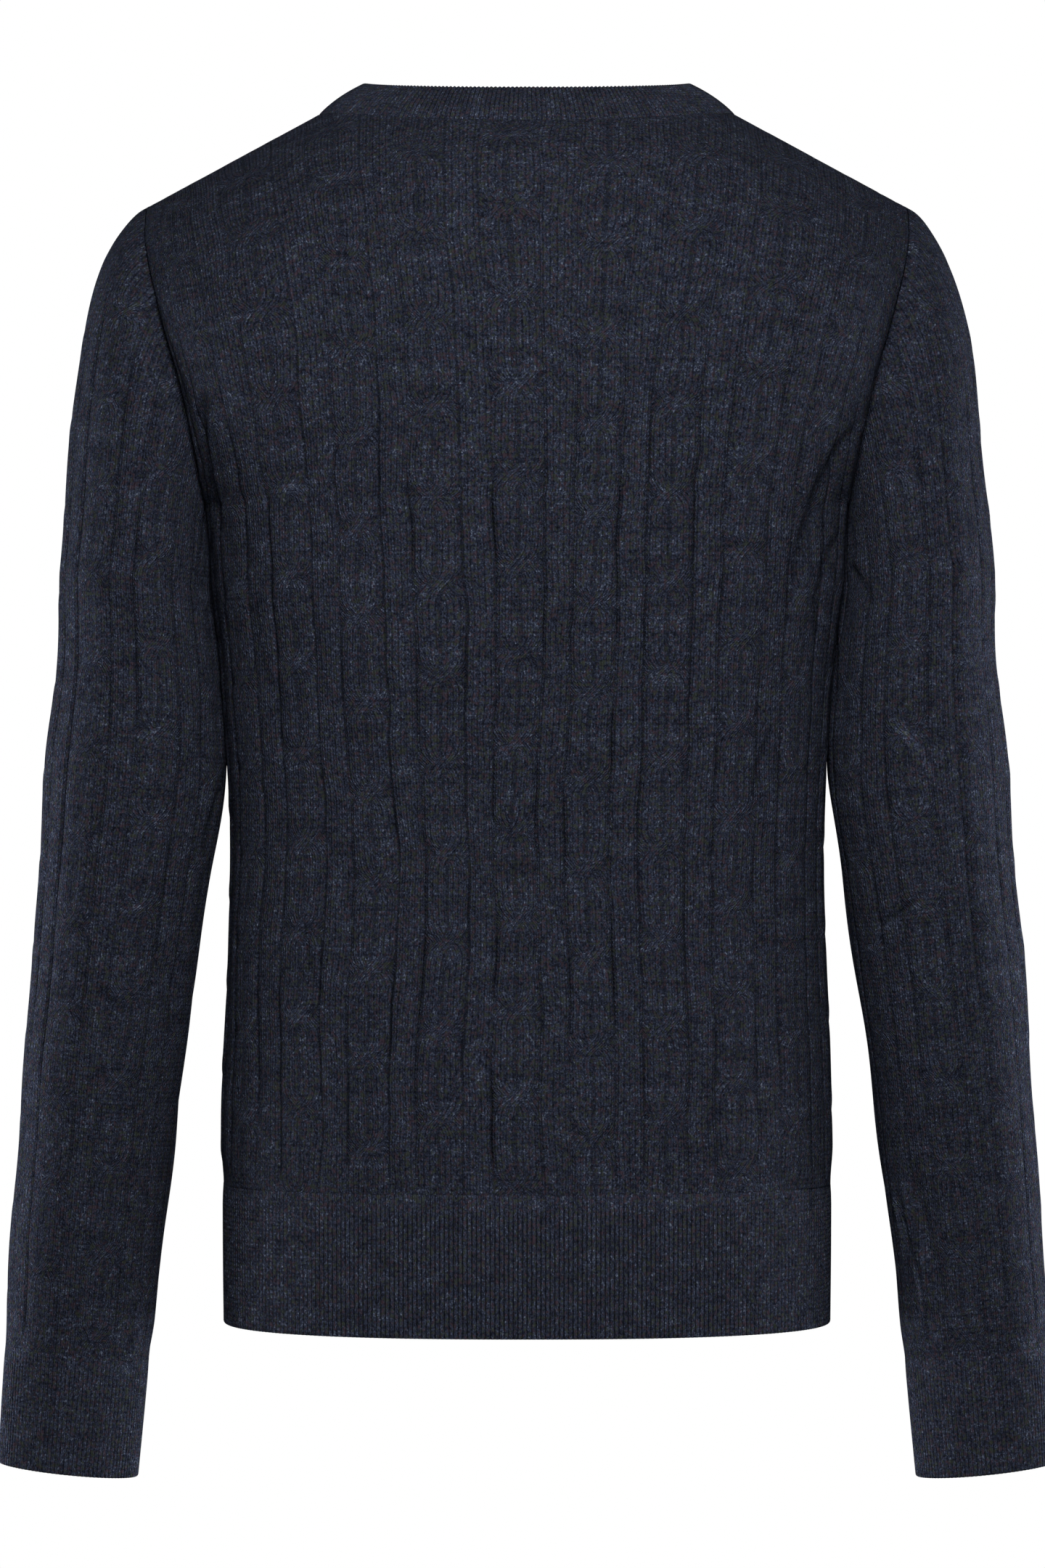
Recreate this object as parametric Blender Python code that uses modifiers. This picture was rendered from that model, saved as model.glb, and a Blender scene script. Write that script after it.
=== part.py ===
"""Cable knit cardigan, filled out as when it is worn and seen from its back.

Metres, +Z up. The back of the garment faces -Y and its button front faces +Y. +X is the wearer's
right. The origin lies between the two high points of the shoulders, where the wearer's neck and
shoulders hold the garment up.
"""
import math

import bmesh
import bpy
import numpy as np
from mathutils import Vector

# --- driving dimensions -----------------------------------------------------------------------
WALL = 0.0024            # thickness of the knitted cloth
SEAM = 0.0003            # clearance between two pieces that are sewn together
NECK_SEAM = 0.0005       # the same at the neckband, which turns sharply over the shoulder seams
LAP = 0.0004             # clearance between the two layers of the buttoned front

NECK_HALF = 0.103        # half width of the neck hole at the shoulder seams
NECK_Z = 0.001           # height of the neck ends of the shoulder seams
NECK_BACK_DROP = 0.010   # how far the neck hole dips at the middle of the back and of the front
NECK_FRONT_DROP = 0.085
NECK_CURVE = 1.6         # how roundly it dips (1 is an ellipse, more is a gentler start)
NECK_SPREAD = 0.027      # width over which the slope of the shoulders levels out across the neck
SHOULDER_HALF = 0.188    # half width across the shoulder ends of the shoulder seams
SHOULDER_Z = -0.045      # height of the shoulder ends

ARMHOLE_Z = -0.119       # middle height of the armhole
ARMHOLE_RISE = 0.074     # half of the armhole's height
ARMHOLE_BACK = 0.042     # how far the armhole reaches back, and forward
ARMHOLE_FRONT = 0.046
UNDERARM_Z = ARMHOLE_Z - ARMHOLE_RISE

RIB_Z = -0.528           # seam between the body and its hem rib
HEM_Z = -0.597           # lower edge of the hem rib
BAND_HALF = 0.013        # half width of the two front bands, which lie on each other
TUCK_RUN = 0.020         # width over which the left front dips under the buttonhole band

NECKBAND_WIDTH = 0.0275  # width of the ribbed neckband
NECKBAND_CROWN = 0.0012  # how far the middle of the neckband stands proud of its two edges
NECKBAND_LIFT = 5        # how much more steeply it stands than the cloth it is sewn to, in degrees

ROUND_BACK = (0.070, 0.088)    # drop in which the back turns upright, at the neck and shoulder
ROUND_FRONT = (0.245, 0.125)   # the same for the front
ROUND_START = 9          # slope of the cloth, in degrees from level, beside the shoulder seam
ARMHOLE_FLAT = 0.55      # how plainly the cloth runs out to the armhole (0.4 would round it)
ARMHOLE_SWELL = 3        # how late the cloth inside the armhole swells outward below the shoulder
ARMHOLE_EDGE = 8         # how close to the armhole edge that holds

SLEEVE_TOP_Z = -0.230    # first section of the sleeve's straight tube
CUFF_SEAM_Z = -0.613     # seam between the sleeve and its cuff
CUFF_Z = -0.672          # lower edge of the cuff
SLEEVE_LEAN = 6.0        # lean of the sleeve away from the body, in degrees
CAP_LEAVE = 0.125        # pull of the sleeve cap along the shoulder slope
CAP_LAND = 0.200         # pull of the sleeve cap up from the straight tube
CAP_UNDER = 0.02         # how far the cap leans outward as it leaves the underarm
CAP_SPREAD = 0.25        # how far the cap swells backward and forward as it leaves the armhole

BUTTONS = 7              # one of them on the neckband
BUTTON_RADIUS = 0.0078
BUTTON_THICK = 0.0032
BUTTON_HOLE = 0.00095    # radius of the four sewing holes
BUTTON_HOLE_OUT = 0.0021 # distance of each sewing hole from the middle
BUTTON_CLEAR = 0.0004    # clearance between a button and the band under it
BUTTON_FIRST_Z = -0.128  # highest button below the neckband
BUTTON_LAST_Z = -0.575   # lowest button

ROWS_ARMHOLE = 10        # rows of cloth facets beside half of an armhole
ROWS_BODY = 14           # rows from the underarm to the rib seam
ROWS_RIB = 3
ROWS_SLEEVE = 10         # rows from the cap to the cuff seam
ROWS_CAP = 9
COLUMNS_NECK = 6         # columns from the middle to the neck end of the shoulder seam
COLUMNS_SHOULDER = 7     # columns from there to the side

# Sections of the body: height, then the depth of the back and of the front at the middle, and
# how square the section is (2 is an ellipse).
BODY = (
    # z       back    front   square
    (0.002, 0.086, 0.072, 2.3),
    (-0.060, 0.090, 0.086, 2.4),
    (-0.120, 0.093, 0.102, 2.6),
    (-0.180, 0.092, 0.111, 2.8),
    (-0.240, 0.088, 0.110, 2.7),
    (-0.310, 0.082, 0.103, 2.6),
    (-0.371, 0.080, 0.098, 2.5),
    (-0.450, 0.087, 0.098, 2.5),
    (-0.528, 0.096, 0.101, 2.4),
    (-0.597, 0.098, 0.102, 2.4),
)

# Side of the body: height and half width, down the armhole edge and then down the side seam.
SIDE = (
    # z       half
    (-0.045, 0.1880),
    (-0.063, 0.1875),
    (-0.098, 0.1800),
    (-0.137, 0.1685),
    (-0.165, 0.1620),
    (-0.193, 0.1575),
    (-0.234, 0.1550),
    (-0.273, 0.1507),
    (-0.318, 0.1477),
    (-0.371, 0.1462),
    (-0.418, 0.1472),
    (-0.461, 0.1492),
    (-0.504, 0.1501),
    (-0.560, 0.1502),
    (-0.597, 0.1498),
)

# Sections of the sleeve: height and place of the middle, then half width and half depth.
SLEEVE = (
    # z       x       y       half_w  half_d
    (-0.230, 0.1936, 0.0000, 0.0371, 0.0500),
    (-0.275, 0.1920, 0.0005, 0.0410, 0.0492),
    (-0.312, 0.1926, 0.0010, 0.0440, 0.0480),
    (-0.374, 0.1993, 0.0020, 0.0423, 0.0450),
    (-0.418, 0.2042, 0.0032, 0.0409, 0.0422),
    (-0.461, 0.2092, 0.0045, 0.0395, 0.0395),
    (-0.504, 0.2133, 0.0060, 0.0384, 0.0368),
    (-0.547, 0.2178, 0.0075, 0.0374, 0.0342),
    (-0.590, 0.2217, 0.0090, 0.0365, 0.0316),
    (-0.613, 0.2238, 0.0098, 0.0358, 0.0298),
    (-0.640, 0.2260, 0.0107, 0.0354, 0.0282),
    (-0.672, 0.2286, 0.0118, 0.0348, 0.0270),
)

FOLD_START = 0.25        # share of a fold's length in which it deepens, and in which it fades
FOLD_FINISH = 0.4

# Largest folds of the body: which side, the two ends of the fold, its half width and its depth.
FOLDS = (
    # side     x0      z0      x1      z1      half    depth
    ("back", 0.158, -0.172, 0.124, -0.262, 0.012, 0.0032),
    ("back", -0.156, -0.180, -0.130, -0.250, 0.012, 0.0020),
    ("front", 0.150, -0.165, 0.112, -0.240, 0.013, 0.0030),
    ("front", -0.152, -0.168, -0.118, -0.232, 0.013, 0.0026),
)

# Half section of a button: shares of its radius and of its thickness, from the flat back.
BUTTON_PROFILE = (
    # out    up
    (0.00, 0.00),
    (0.86, 0.00),
    (1.00, 0.40),
    (0.94, 0.90),
    (0.84, 1.00),
    (0.72, 0.90),
    (0.58, 0.62),
    (0.00, 0.56),
)
BUTTON_STEPS = 20        # facets round a button and round each sewing hole
DRILL_STEPS = 10

WOOL = (0.0176, 0.0194, 0.0284)      # linear colour of the dark navy wool
BUTTON_COLOUR = (0.0123, 0.0123, 0.0168)
BODY_ROUGHNESS = 0.92
BUTTON_ROUGHNESS = 0.38

# --- scene --------------------------------------------------------------------------------------
for leftover in list(bpy.data.objects):
    bpy.data.objects.remove(leftover, do_unlink=True)

cardigan = bpy.data.collections.new("cable_knit_cardigan")
cutters = bpy.data.collections.new("cutters")
bpy.context.scene.collection.children.link(cardigan)
bpy.context.scene.collection.children.link(cutters)


def principled(name, colour, roughness):
    """A plain material of one colour."""
    material = bpy.data.materials.new(name)
    material.use_nodes = True
    shader = material.node_tree.nodes["Principled BSDF"]
    shader.inputs["Base Color"].default_value = (*colour, 1.0)
    shader.inputs["Roughness"].default_value = roughness
    shader.inputs["Metallic"].default_value = 0.0
    return material


# --- shape of the cloth -------------------------------------------------------------------------
def along(table, column, at):
    """One column of a table at any height, on a smooth curve through the table's rows."""
    rows = sorted(table)
    x = np.array([row[0] for row in rows])
    y = np.array([row[column] for row in rows])
    slope = np.gradient(y, x)
    at = np.clip(at, x[0], x[-1])
    k = np.clip(np.searchsorted(x, at) - 1, 0, len(x) - 2)
    step = x[k + 1] - x[k]
    t = (at - x[k]) / step
    return (y[k] * (1 + 2 * t) * (1 - t) ** 2 + y[k + 1] * t * t * (3 - 2 * t)
            + slope[k] * step * t * (1 - t) ** 2 - slope[k + 1] * step * t * t * (1 - t))


def ease(t):
    """A step from 0 to 1 with soft ends."""
    t = np.clip(t, 0.0, 1.0)
    return t * t * (3 - 2 * t)


def unit(vectors):
    """The same directions, each of length 1."""
    return vectors / np.maximum(np.linalg.norm(vectors, axis=-1, keepdims=True), 1e-12)


def shoulder_line(x):
    """Height of the shoulder seam, carried on across the neck as a soft arch."""
    fall = (NECK_Z - SHOULDER_Z) / (SHOULDER_HALF - NECK_HALF)
    inner = np.clip(NECK_HALF - x, 0, None)
    return NECK_Z - fall * np.clip(x - NECK_HALF, 0, None) + fall * NECK_SPREAD * (
        1 - np.exp(-inner / NECK_SPREAD))


def body_top(x, front):
    """Height of the upper edge of the body, across the neck seam and down the shoulder seam."""
    arc = np.sqrt(np.clip(1 - (x / NECK_HALF) ** 2, 0, 1))
    drop = (NECK_FRONT_DROP if front else NECK_BACK_DROP) * arc ** NECK_CURVE
    return np.where(x < NECK_HALF, NECK_Z - drop, shoulder_line(x))


def armhole(turn, front):
    """A point of the armhole seam: turn runs from 0 at the shoulder to 1 at the underarm."""
    z = ARMHOLE_Z + ARMHOLE_RISE * np.cos(math.pi * turn)
    reach = ARMHOLE_FRONT if front else -ARMHOLE_BACK
    return along(SIDE, 1, z), reach * np.sin(math.pi * turn), z


def fold_depth(x, z, front):
    """How far the largest folds push the cloth in."""
    depth = np.zeros(np.broadcast(x, z).shape)
    for side, x0, z0, x1, z1, half, deep in FOLDS:
        if (side == "front") != front:
            continue
        run = math.hypot(x1 - x0, z1 - z0)
        t = ((x - x0) * (x1 - x0) + (z - z0) * (z1 - z0)) / run ** 2
        off = ((x - x0) * (z1 - z0) - (z - z0) * (x1 - x0)) / run
        ends = ease(t / FOLD_START) * ease((1 - t) / FOLD_FINISH)
        depth += deep * np.exp(-(off / half) ** 2) * ends
    return depth


def body_point(x_share, row, front, inset=0.0):
    """A point of the body's outer face.

    x_share runs from 0 at the middle (or at inset from it) to 1 at the side, negative on the left.
    row runs from 0 at the shoulder and neck seams to 1 at the underarm, and then adds the drop
    below the underarm in metres.
    """
    x_share, row = np.broadcast_arrays(np.asarray(x_share, float), np.asarray(row, float))
    turn = np.clip(row, 0, 1)
    edge_x, edge_y, edge_z = armhole(turn, front)
    below = np.clip(row - 1, 0, None)
    edge_z = edge_z - below
    edge_x = np.where(below > 0, along(SIDE, 1, edge_z), edge_x)

    side = np.where(x_share < 0, -1.0, 1.0)
    share = np.abs(x_share)
    swell = np.maximum(np.sin(math.pi * turn), 1e-9)
    edge_y = np.where(below > 0, 0.0, edge_y * swell ** (ARMHOLE_SWELL * (1 - share ** ARMHOLE_EDGE)))
    top_x = inset + (SHOULDER_HALF - inset) * share
    top_z = body_top(top_x, front)
    z = top_z + (UNDERARM_Z - top_z) * (1 - np.cos(math.pi * turn)) / 2 - below
    x = inset + (edge_x - inset) * share

    near, far = ROUND_FRONT if front else ROUND_BACK
    start = math.radians(ROUND_START)
    fall = (shoulder_line(top_x) - z) / (near + (far - near) * ease(top_x / SHOULDER_HALF))
    slope = np.arccos(np.cos(start) * (1 - np.clip(fall, 0, 1)))
    out = (np.sin(slope) - np.sin(start)) / (1 - np.sin(start))

    square = along(BODY, 3, z)
    power = 1 / square + (ARMHOLE_FLAT - 1 / square) * ease(1 - turn) ** 2
    crown = np.clip(1 - (x / edge_x) ** square, 0, 1) ** power
    full = along(BODY, 2 if front else 1, z) * (1 if front else -1)
    y = edge_y * (1 - crown) + full * out * crown
    y = y + fold_depth(x * side, z, front) * (-1 if front else 1) * np.where(share < 1, 1, 0)
    return np.stack([x * side, y, z], axis=-1)


def tuck(x):
    """How deep the left half of the front lies under the right half, at the buttoned middle."""
    return (WALL + LAP) * ease((x + BAND_HALF + TUCK_RUN) / TUCK_RUN)


def sleeve_ring(z, turns):
    """A section of the sleeve's tube: turns run from 0 at its outer side, round the back."""
    x_mid, y_mid, half_w, half_d = (along(SLEEVE, column, z) for column in (1, 2, 3, 4))
    lean = math.radians(SLEEVE_LEAN)
    across = half_w * np.cos(2 * math.pi * turns)
    y = y_mid - half_d * np.sin(2 * math.pi * turns)
    return np.stack([x_mid + across * math.cos(lean), y, z + across * math.sin(lean)], axis=-1)


def sleeve_cap(t, turns):
    """A ring of the sleeve between the armhole (t = 0) and the straight tube (t = 1)."""
    front = turns > 0.5
    half_turn = np.where(front, 2 - 2 * turns, 2 * turns)
    x, y_back, z = armhole(half_turn, False)
    y_front = armhole(half_turn, True)[1]
    start = np.stack([x + SEAM, np.where(front, y_front, y_back), z], axis=-1)
    end = sleeve_ring(np.full(turns.shape, SLEEVE_TOP_Z), turns)
    upper = ((1 + np.cos(2 * math.pi * turns)) / 2)[:, None]
    shoulder = math.atan2(NECK_Z - SHOULDER_Z, SHOULDER_HALF - NECK_HALF)
    leave = np.array([math.cos(shoulder), 0, -math.sin(shoulder)]) * upper
    leave = leave + np.array([CAP_UNDER, 0, -1.0]) * (1 - upper)
    leave[:, 1] = -CAP_SPREAD * np.sin(2 * math.pi * turns)
    lean = math.radians(SLEEVE_LEAN)
    land = np.array([math.sin(lean), 0, -math.cos(lean)])
    length = np.linalg.norm(end - start, axis=1, keepdims=True)
    longest = length.max()
    leave = unit(leave) * length * (CAP_LEAVE / longest)
    land = land * length * (CAP_LAND / longest)
    return (start * (1 + 2 * t) * (1 - t) ** 2 + end * t * t * (3 - 2 * t)
            + leave * t * (1 - t) ** 2 - land * t * t * (1 - t))


# --- cloth as solids ----------------------------------------------------------------------------
def grid_normals(points, ring=False, outward=1.0):
    """Unit normals of a grid of points, out of the garment."""
    if ring:
        around = np.roll(points, -1, axis=1) - np.roll(points, 1, axis=1)
    else:
        around = np.gradient(points, axis=1)
    down = np.gradient(points, axis=0)
    return unit(np.cross(down, around)) * outward


def cloth(name, outer, normals, material, ring=False):
    """A closed wall of cloth between a grid of points and the same grid moved in by the wall."""
    rows, columns = outer.shape[:2]
    inner = outer - normals * WALL
    mesh = bmesh.new()
    faces = [[[mesh.verts.new(point) for point in line] for line in layer]
             for layer in (outer, inner)]
    steps = columns if ring else columns - 1
    for i in range(rows - 1):
        for j in range(steps):
            k = (j + 1) % columns
            a, b, c, d = (faces[0][p][q] for p, q in ((i, j), (i, k), (i + 1, k), (i + 1, j)))
            mesh.faces.new((a, b, c, d))
            a, b, c, d = (faces[1][p][q] for p, q in ((i, j), (i, k), (i + 1, k), (i + 1, j)))
            mesh.faces.new((d, c, b, a))
    rims = [[(i, j) for j in range(columns)] for i in (0, rows - 1)]
    if ring:
        rims = [rim + rim[:1] for rim in rims]
    else:
        rims += [[(i, j) for i in range(rows)] for j in (0, columns - 1)]
    for rim in rims:
        for (i, j), (p, q) in zip(rim, rim[1:]):
            mesh.faces.new((faces[0][i][j], faces[0][p][q], faces[1][p][q], faces[1][i][j]))
    bmesh.ops.recalc_face_normals(mesh, faces=mesh.faces[:])
    data = bpy.data.meshes.new(name)
    mesh.to_mesh(data)
    mesh.free()
    data.shade_smooth()
    data.materials.append(material)
    piece = bpy.data.objects.new(name, data)
    cardigan.objects.link(piece)
    return piece


def edge_shares(front):
    """Column places of a body panel, from the middle to the side, as shares of its half width."""
    inset = BAND_HALF if front else 0.0
    start = math.asin(inset / NECK_HALF)
    neck = NECK_HALF * np.sin(np.linspace(start, math.pi / 2, COLUMNS_NECK + 1))
    neck = (neck - inset) / (SHOULDER_HALF - inset)
    rest = np.sin(np.linspace(0, math.pi / 2, COLUMNS_SHOULDER + 1))
    rest = neck[-1] + (1 - neck[-1]) * rest
    return np.concatenate([neck, rest[1:]])


armhole_rows = np.linspace(0, 1, ROWS_ARMHOLE + 1)
body_drop = UNDERARM_Z - RIB_Z - SEAM / 2
body_rows = np.concatenate([armhole_rows, 1 + np.linspace(0, body_drop, ROWS_BODY + 1)[1:]])
rib_rows = 1 + np.linspace(UNDERARM_Z - RIB_Z + SEAM / 2, UNDERARM_Z - HEM_Z, ROWS_RIB + 1)

wool = principled("merino_wool_knit", WOOL, BODY_ROUGHNESS)
rib_wool = principled("merino_wool_rib", WOOL, BODY_ROUGHNESS)
button_plastic = principled("polyester_button", BUTTON_COLOUR, BUTTON_ROUGHNESS)


def kept_slant(turn):
    """Share of a wall's sideways slant kept at the armhole seam, so that its two rims stay clear."""
    return ease(2 * turn - 1)


def panel_grid(shares, rows, front):
    """Points and normals of a right or whole panel, drawn back from its seams by half the gap."""
    points = body_point(shares[None, :], rows[:, None], front, BAND_HALF if front else 0.0)
    normals = grid_normals(points, outward=-1.0 if front else 1.0)
    gap = SEAM / 2 * (1 if front else -1)
    if rows[0] == 0:
        shoulder = np.abs(points[0, :, 0]) > NECK_HALF - SEAM
        points[0, shoulder, 1] = gap
        normals[0, shoulder, 1] = 0
    for column in np.flatnonzero(np.abs(shares) == 1):
        normals[rows < 1, column, 0] *= kept_slant(rows[rows < 1])
        points[rows >= 1, column, 1] = gap
        normals[rows >= 1, column, 1] = 0
    normals[-1 if rows[0] == 0 else 0, :, 2] = 0
    if front:
        points[:, 0, 0] += SEAM / 2
        normals[:, 0, 0] = 0
    return points, unit(normals)


def body_panel(name, grid, material, left=False):
    """One piece of the body. The left half of the front is a mirrored right one, tucked under."""
    points, normals = grid
    if left:
        mirror = np.array([-1, 1, 1])
        points, normals = points * mirror, normals * mirror
        points = points - normals * tuck(points[..., 0])[..., None]
    return cloth(name, points, normals, material)


half = edge_shares(False)
back_shares = np.concatenate([-half[:0:-1], half])
front_shares = edge_shares(True)
back_grid = panel_grid(back_shares, body_rows, False)
front_grid = panel_grid(front_shares, body_rows, True)
front_rib_grid = panel_grid(front_shares, rib_rows, True)
body_panel("back", back_grid, wool)
body_panel("back_hem_rib", panel_grid(back_shares, rib_rows, False), rib_wool)
for side_name, is_left in (("right", False), ("left", True)):
    body_panel(f"front_{side_name}", front_grid, wool, is_left)
    body_panel(f"front_{side_name}_hem_rib", front_rib_grid, rib_wool, is_left)


# --- sleeves and cuffs --------------------------------------------------------------------------
ring_turns = np.arange(2 * ROWS_ARMHOLE) / (2 * ROWS_ARMHOLE)
cap_rows = [sleeve_cap(t, ring_turns) for t in np.linspace(0, 1, ROWS_CAP + 1)]
sleeve_levels = np.linspace(SLEEVE_TOP_Z, CUFF_SEAM_Z + SEAM / 2, ROWS_SLEEVE + 1)[1:]
cuff_levels = np.linspace(CUFF_SEAM_Z - SEAM / 2, CUFF_Z, ROWS_RIB + 1)
for side_name, flip in (("right", 1), ("left", -1)):
    mirror = np.array([flip, 1, 1])
    tube = np.array(cap_rows + [sleeve_ring(z, ring_turns) for z in sleeve_levels])
    slants = grid_normals(tube, ring=True, outward=-1.0)
    slants[0, :, 0] *= kept_slant(1 - np.abs(2 * ring_turns - 1))
    cloth(f"sleeve_{side_name}", tube * mirror, unit(slants) * mirror, wool, ring=True)
    tube = np.array([sleeve_ring(z, ring_turns) for z in cuff_levels])
    slants = grid_normals(tube, ring=True, outward=-1.0)
    cloth(f"cuff_{side_name}", tube * mirror, slants * mirror, rib_wool, ring=True)


# --- front bands and neckband -------------------------------------------------------------------
band_x = np.array([-BAND_HALF + SEAM / 2, 0, BAND_HALF - SEAM / 2])
band_rows = np.concatenate([armhole_rows, 1 + np.linspace(0, UNDERARM_Z - RIB_Z, ROWS_BODY + 1)[1:],
                            rib_rows[1:]])
band_face = body_point(0.0, band_rows[:, None], True, np.abs(band_x)[None, :])
band_face[..., 0] = band_x
band_slant = grid_normals(band_face, outward=-1.0)
band_slant = unit(band_slant * np.array([0, 1, 1]))
cloth("buttonhole_band", band_face, band_slant, rib_wool)
cloth("button_band", band_face - band_slant * (WALL + LAP), band_slant, rib_wool)


def neck_seam():
    """Points along the neck seam and the way the cloth faces there, from the lower, left end of
    the neckband across the throat, round the left side, the nape and the right side."""
    mirror = np.array([-1, 1, 1])
    count = COLUMNS_NECK + 1
    throat = np.concatenate([band_face[0, ::-1], (front_grid[0][0] * mirror)[1:count]])
    facing = np.concatenate([band_slant[0, ::-1], (front_grid[1][0] * mirror)[1:count]])
    middle = len(back_shares) // 2
    nape = slice(middle - COLUMNS_NECK + 1, middle + COLUMNS_NECK)
    places = np.concatenate([throat, back_grid[0][0, nape], (throat * mirror)[::-1]])
    return places, np.concatenate([facing, back_grid[1][0, nape], (facing * mirror)[::-1]]), len(throat)


base, facing, left_count = neck_seam()
base[[left_count - 1, -left_count], 1] = 0
along_seam = unit(np.gradient(base, axis=0))
climb = unit(np.cross(facing, along_seam))
lift = math.radians(NECKBAND_LIFT)
climb = climb * math.cos(lift) + facing * math.sin(lift)
widths = np.array([NECK_SEAM, NECKBAND_WIDTH / 2, NECKBAND_WIDTH])
neckband = base[None] + climb[None] * widths[:, None, None]
slants = grid_normals(neckband, outward=-1.0)
slants[0] = facing
neckband[1] += slants[1] * NECKBAND_CROWN
lower_layer = np.where(np.arange(len(base)) < left_count, tuck(base[:, 0]), 0)
neckband = neckband - slants * lower_layer[None, :, None]
cloth("neckband", neckband, slants, rib_wool)


# --- buttons ------------------------------------------------------------------------------------
def button_pattern():
    """A turned button with a raised rim and four sewing holes, its flat back at z = 0."""
    data = bpy.data.meshes.new("button_profile")
    profile = [(out * BUTTON_RADIUS, 0, up * BUTTON_THICK) for out, up in BUTTON_PROFILE]
    edges = [(i, i + 1) for i in range(len(profile) - 1)]
    data.from_pydata(profile, edges, [])
    turned = bpy.data.objects.new("button_profile", data)
    cutters.objects.link(turned)
    screw = turned.modifiers.new("turn", "SCREW")
    screw.steps = screw.render_steps = BUTTON_STEPS
    screw.use_merge_vertices = True
    screw.merge_threshold = 0.00001
    screw.use_normal_calculate = True
    for quarter in range(4):
        angle = math.radians(45 + 90 * quarter)
        spot = (BUTTON_HOLE_OUT * math.cos(angle), BUTTON_HOLE_OUT * math.sin(angle), BUTTON_THICK / 2)
        bpy.ops.mesh.primitive_cylinder_add(vertices=DRILL_STEPS, radius=BUTTON_HOLE,
                                            depth=BUTTON_THICK * 2, location=spot)
        drill = bpy.context.object
        drill.name = f"sewing_hole_{quarter + 1}"
        drill.hide_render = True
        drill.display_type = "WIRE"
        for holder in list(drill.users_collection):
            holder.objects.unlink(drill)
        cutters.objects.link(drill)
        cut = turned.modifiers.new(drill.name, "BOOLEAN")
        cut.object = drill
        cut.solver = "EXACT"
    bpy.context.view_layer.update()
    evaluated = turned.evaluated_get(bpy.context.evaluated_depsgraph_get())
    pattern = bpy.data.meshes.new_from_object(evaluated)
    bpy.data.objects.remove(turned, do_unlink=True)
    pattern.materials.append(button_plastic)
    pattern.shade_smooth()
    return pattern


def band_seat(z):
    """The place on the buttonhole band's middle line at a height, and the way it faces there."""
    middle, slant = band_face[:, 1], band_slant[:, 1]
    place = [np.interp(-z, -middle[:, 2], middle[:, axis]) for axis in range(3)]
    facing = [np.interp(-z, -middle[:, 2], slant[:, axis]) for axis in range(3)]
    return np.array(place), unit(np.array(facing))


pattern = button_pattern()
seats = [(neckband[1, -2], slants[1, -2])]
seats += [band_seat(z) for z in np.linspace(BUTTON_FIRST_Z, BUTTON_LAST_Z, BUTTONS - 1)]
for number, (place, facing) in enumerate(seats, 1):
    button = bpy.data.objects.new(f"button_{number}", pattern)
    button.location = place + facing * BUTTON_CLEAR
    button.rotation_euler = Vector(facing).to_track_quat("Z", "Y").to_euler()
    cardigan.objects.link(button)
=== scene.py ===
"""Looks of a dark navy cable knit cardigan, filled out as it is worn and seen from its back.

Metres, +Z up. The back faces -Y, the button front +Y, and +X is the wearer's right.
"""

import math

import bpy
import numpy as np
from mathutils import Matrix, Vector


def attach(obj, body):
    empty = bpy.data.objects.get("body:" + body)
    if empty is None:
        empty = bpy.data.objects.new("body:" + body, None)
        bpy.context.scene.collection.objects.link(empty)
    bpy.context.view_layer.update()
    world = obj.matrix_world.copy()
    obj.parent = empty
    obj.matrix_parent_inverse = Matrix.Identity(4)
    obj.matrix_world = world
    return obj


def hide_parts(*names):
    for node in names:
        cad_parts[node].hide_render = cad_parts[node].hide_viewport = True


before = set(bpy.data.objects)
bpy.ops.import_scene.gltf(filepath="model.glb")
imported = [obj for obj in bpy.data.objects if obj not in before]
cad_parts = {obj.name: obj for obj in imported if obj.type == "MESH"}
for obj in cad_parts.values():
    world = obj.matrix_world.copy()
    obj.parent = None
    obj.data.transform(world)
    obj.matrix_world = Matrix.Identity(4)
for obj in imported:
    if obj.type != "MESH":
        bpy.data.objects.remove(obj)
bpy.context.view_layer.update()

# === The back ===================================================================================
# One panel of merino wool knitted in cables between plain columns, sewn at the shoulders, the
# armholes and the sides. Its form is the solid's; its cables, grooves and creases are modelled,
# and painted shade darkens its grooves, creases and seams.
WALL = 0.0024            # thickness of the knitted cloth
SEAM = 0.0003            # gap between two sewn pieces
TOUCH = 0.00002          # gap where two pieces are knitted or sewn edge to edge
NECK_HALF = 0.103
NECK_Z = 0.001
NECK_BACK_DROP = 0.010
NECK_FRONT_DROP = 0.085
NECK_CURVE = 1.6         # how roundly the neck dips (1 is an ellipse, more is a gentler start)
NECK_SPREAD = 0.027      # width over which the slope of the shoulders levels out across the neck
SHOULDER_HALF = 0.188
SHOULDER_Z = -0.045
ARMHOLE_Z = -0.119
ARMHOLE_RISE = 0.074
ARMHOLE_BACK = 0.042     # how far the armhole reaches back, and forward
ARMHOLE_FRONT = 0.046
UNDERARM_Z = ARMHOLE_Z - ARMHOLE_RISE
WAIST_Z = -0.371
RIB_Z = -0.528
BAND_HALF = 0.013
BAND_LAP = 0.0002        # how far a front's edge is caught in the seam of its band
ROUND_BACK = (0.070, 0.088)    # drop over which the shoulders round off, at the neck and outside
ROUND_FRONT = (0.245, 0.125)
ROUND_START = 9          # slope of the shoulders at their seam, in degrees
ARMHOLE_FLAT = 0.55      # how plainly the cloth runs out to the armhole (0.4 would round it)
ARMHOLE_SWELL = 3        # how late the cloth inside the armhole swells outward below the shoulder
ARMHOLE_EDGE = 8         # how close to the armhole edge that holds
TINY = 1e-12             # keeps a division and a power away from zero

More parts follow.
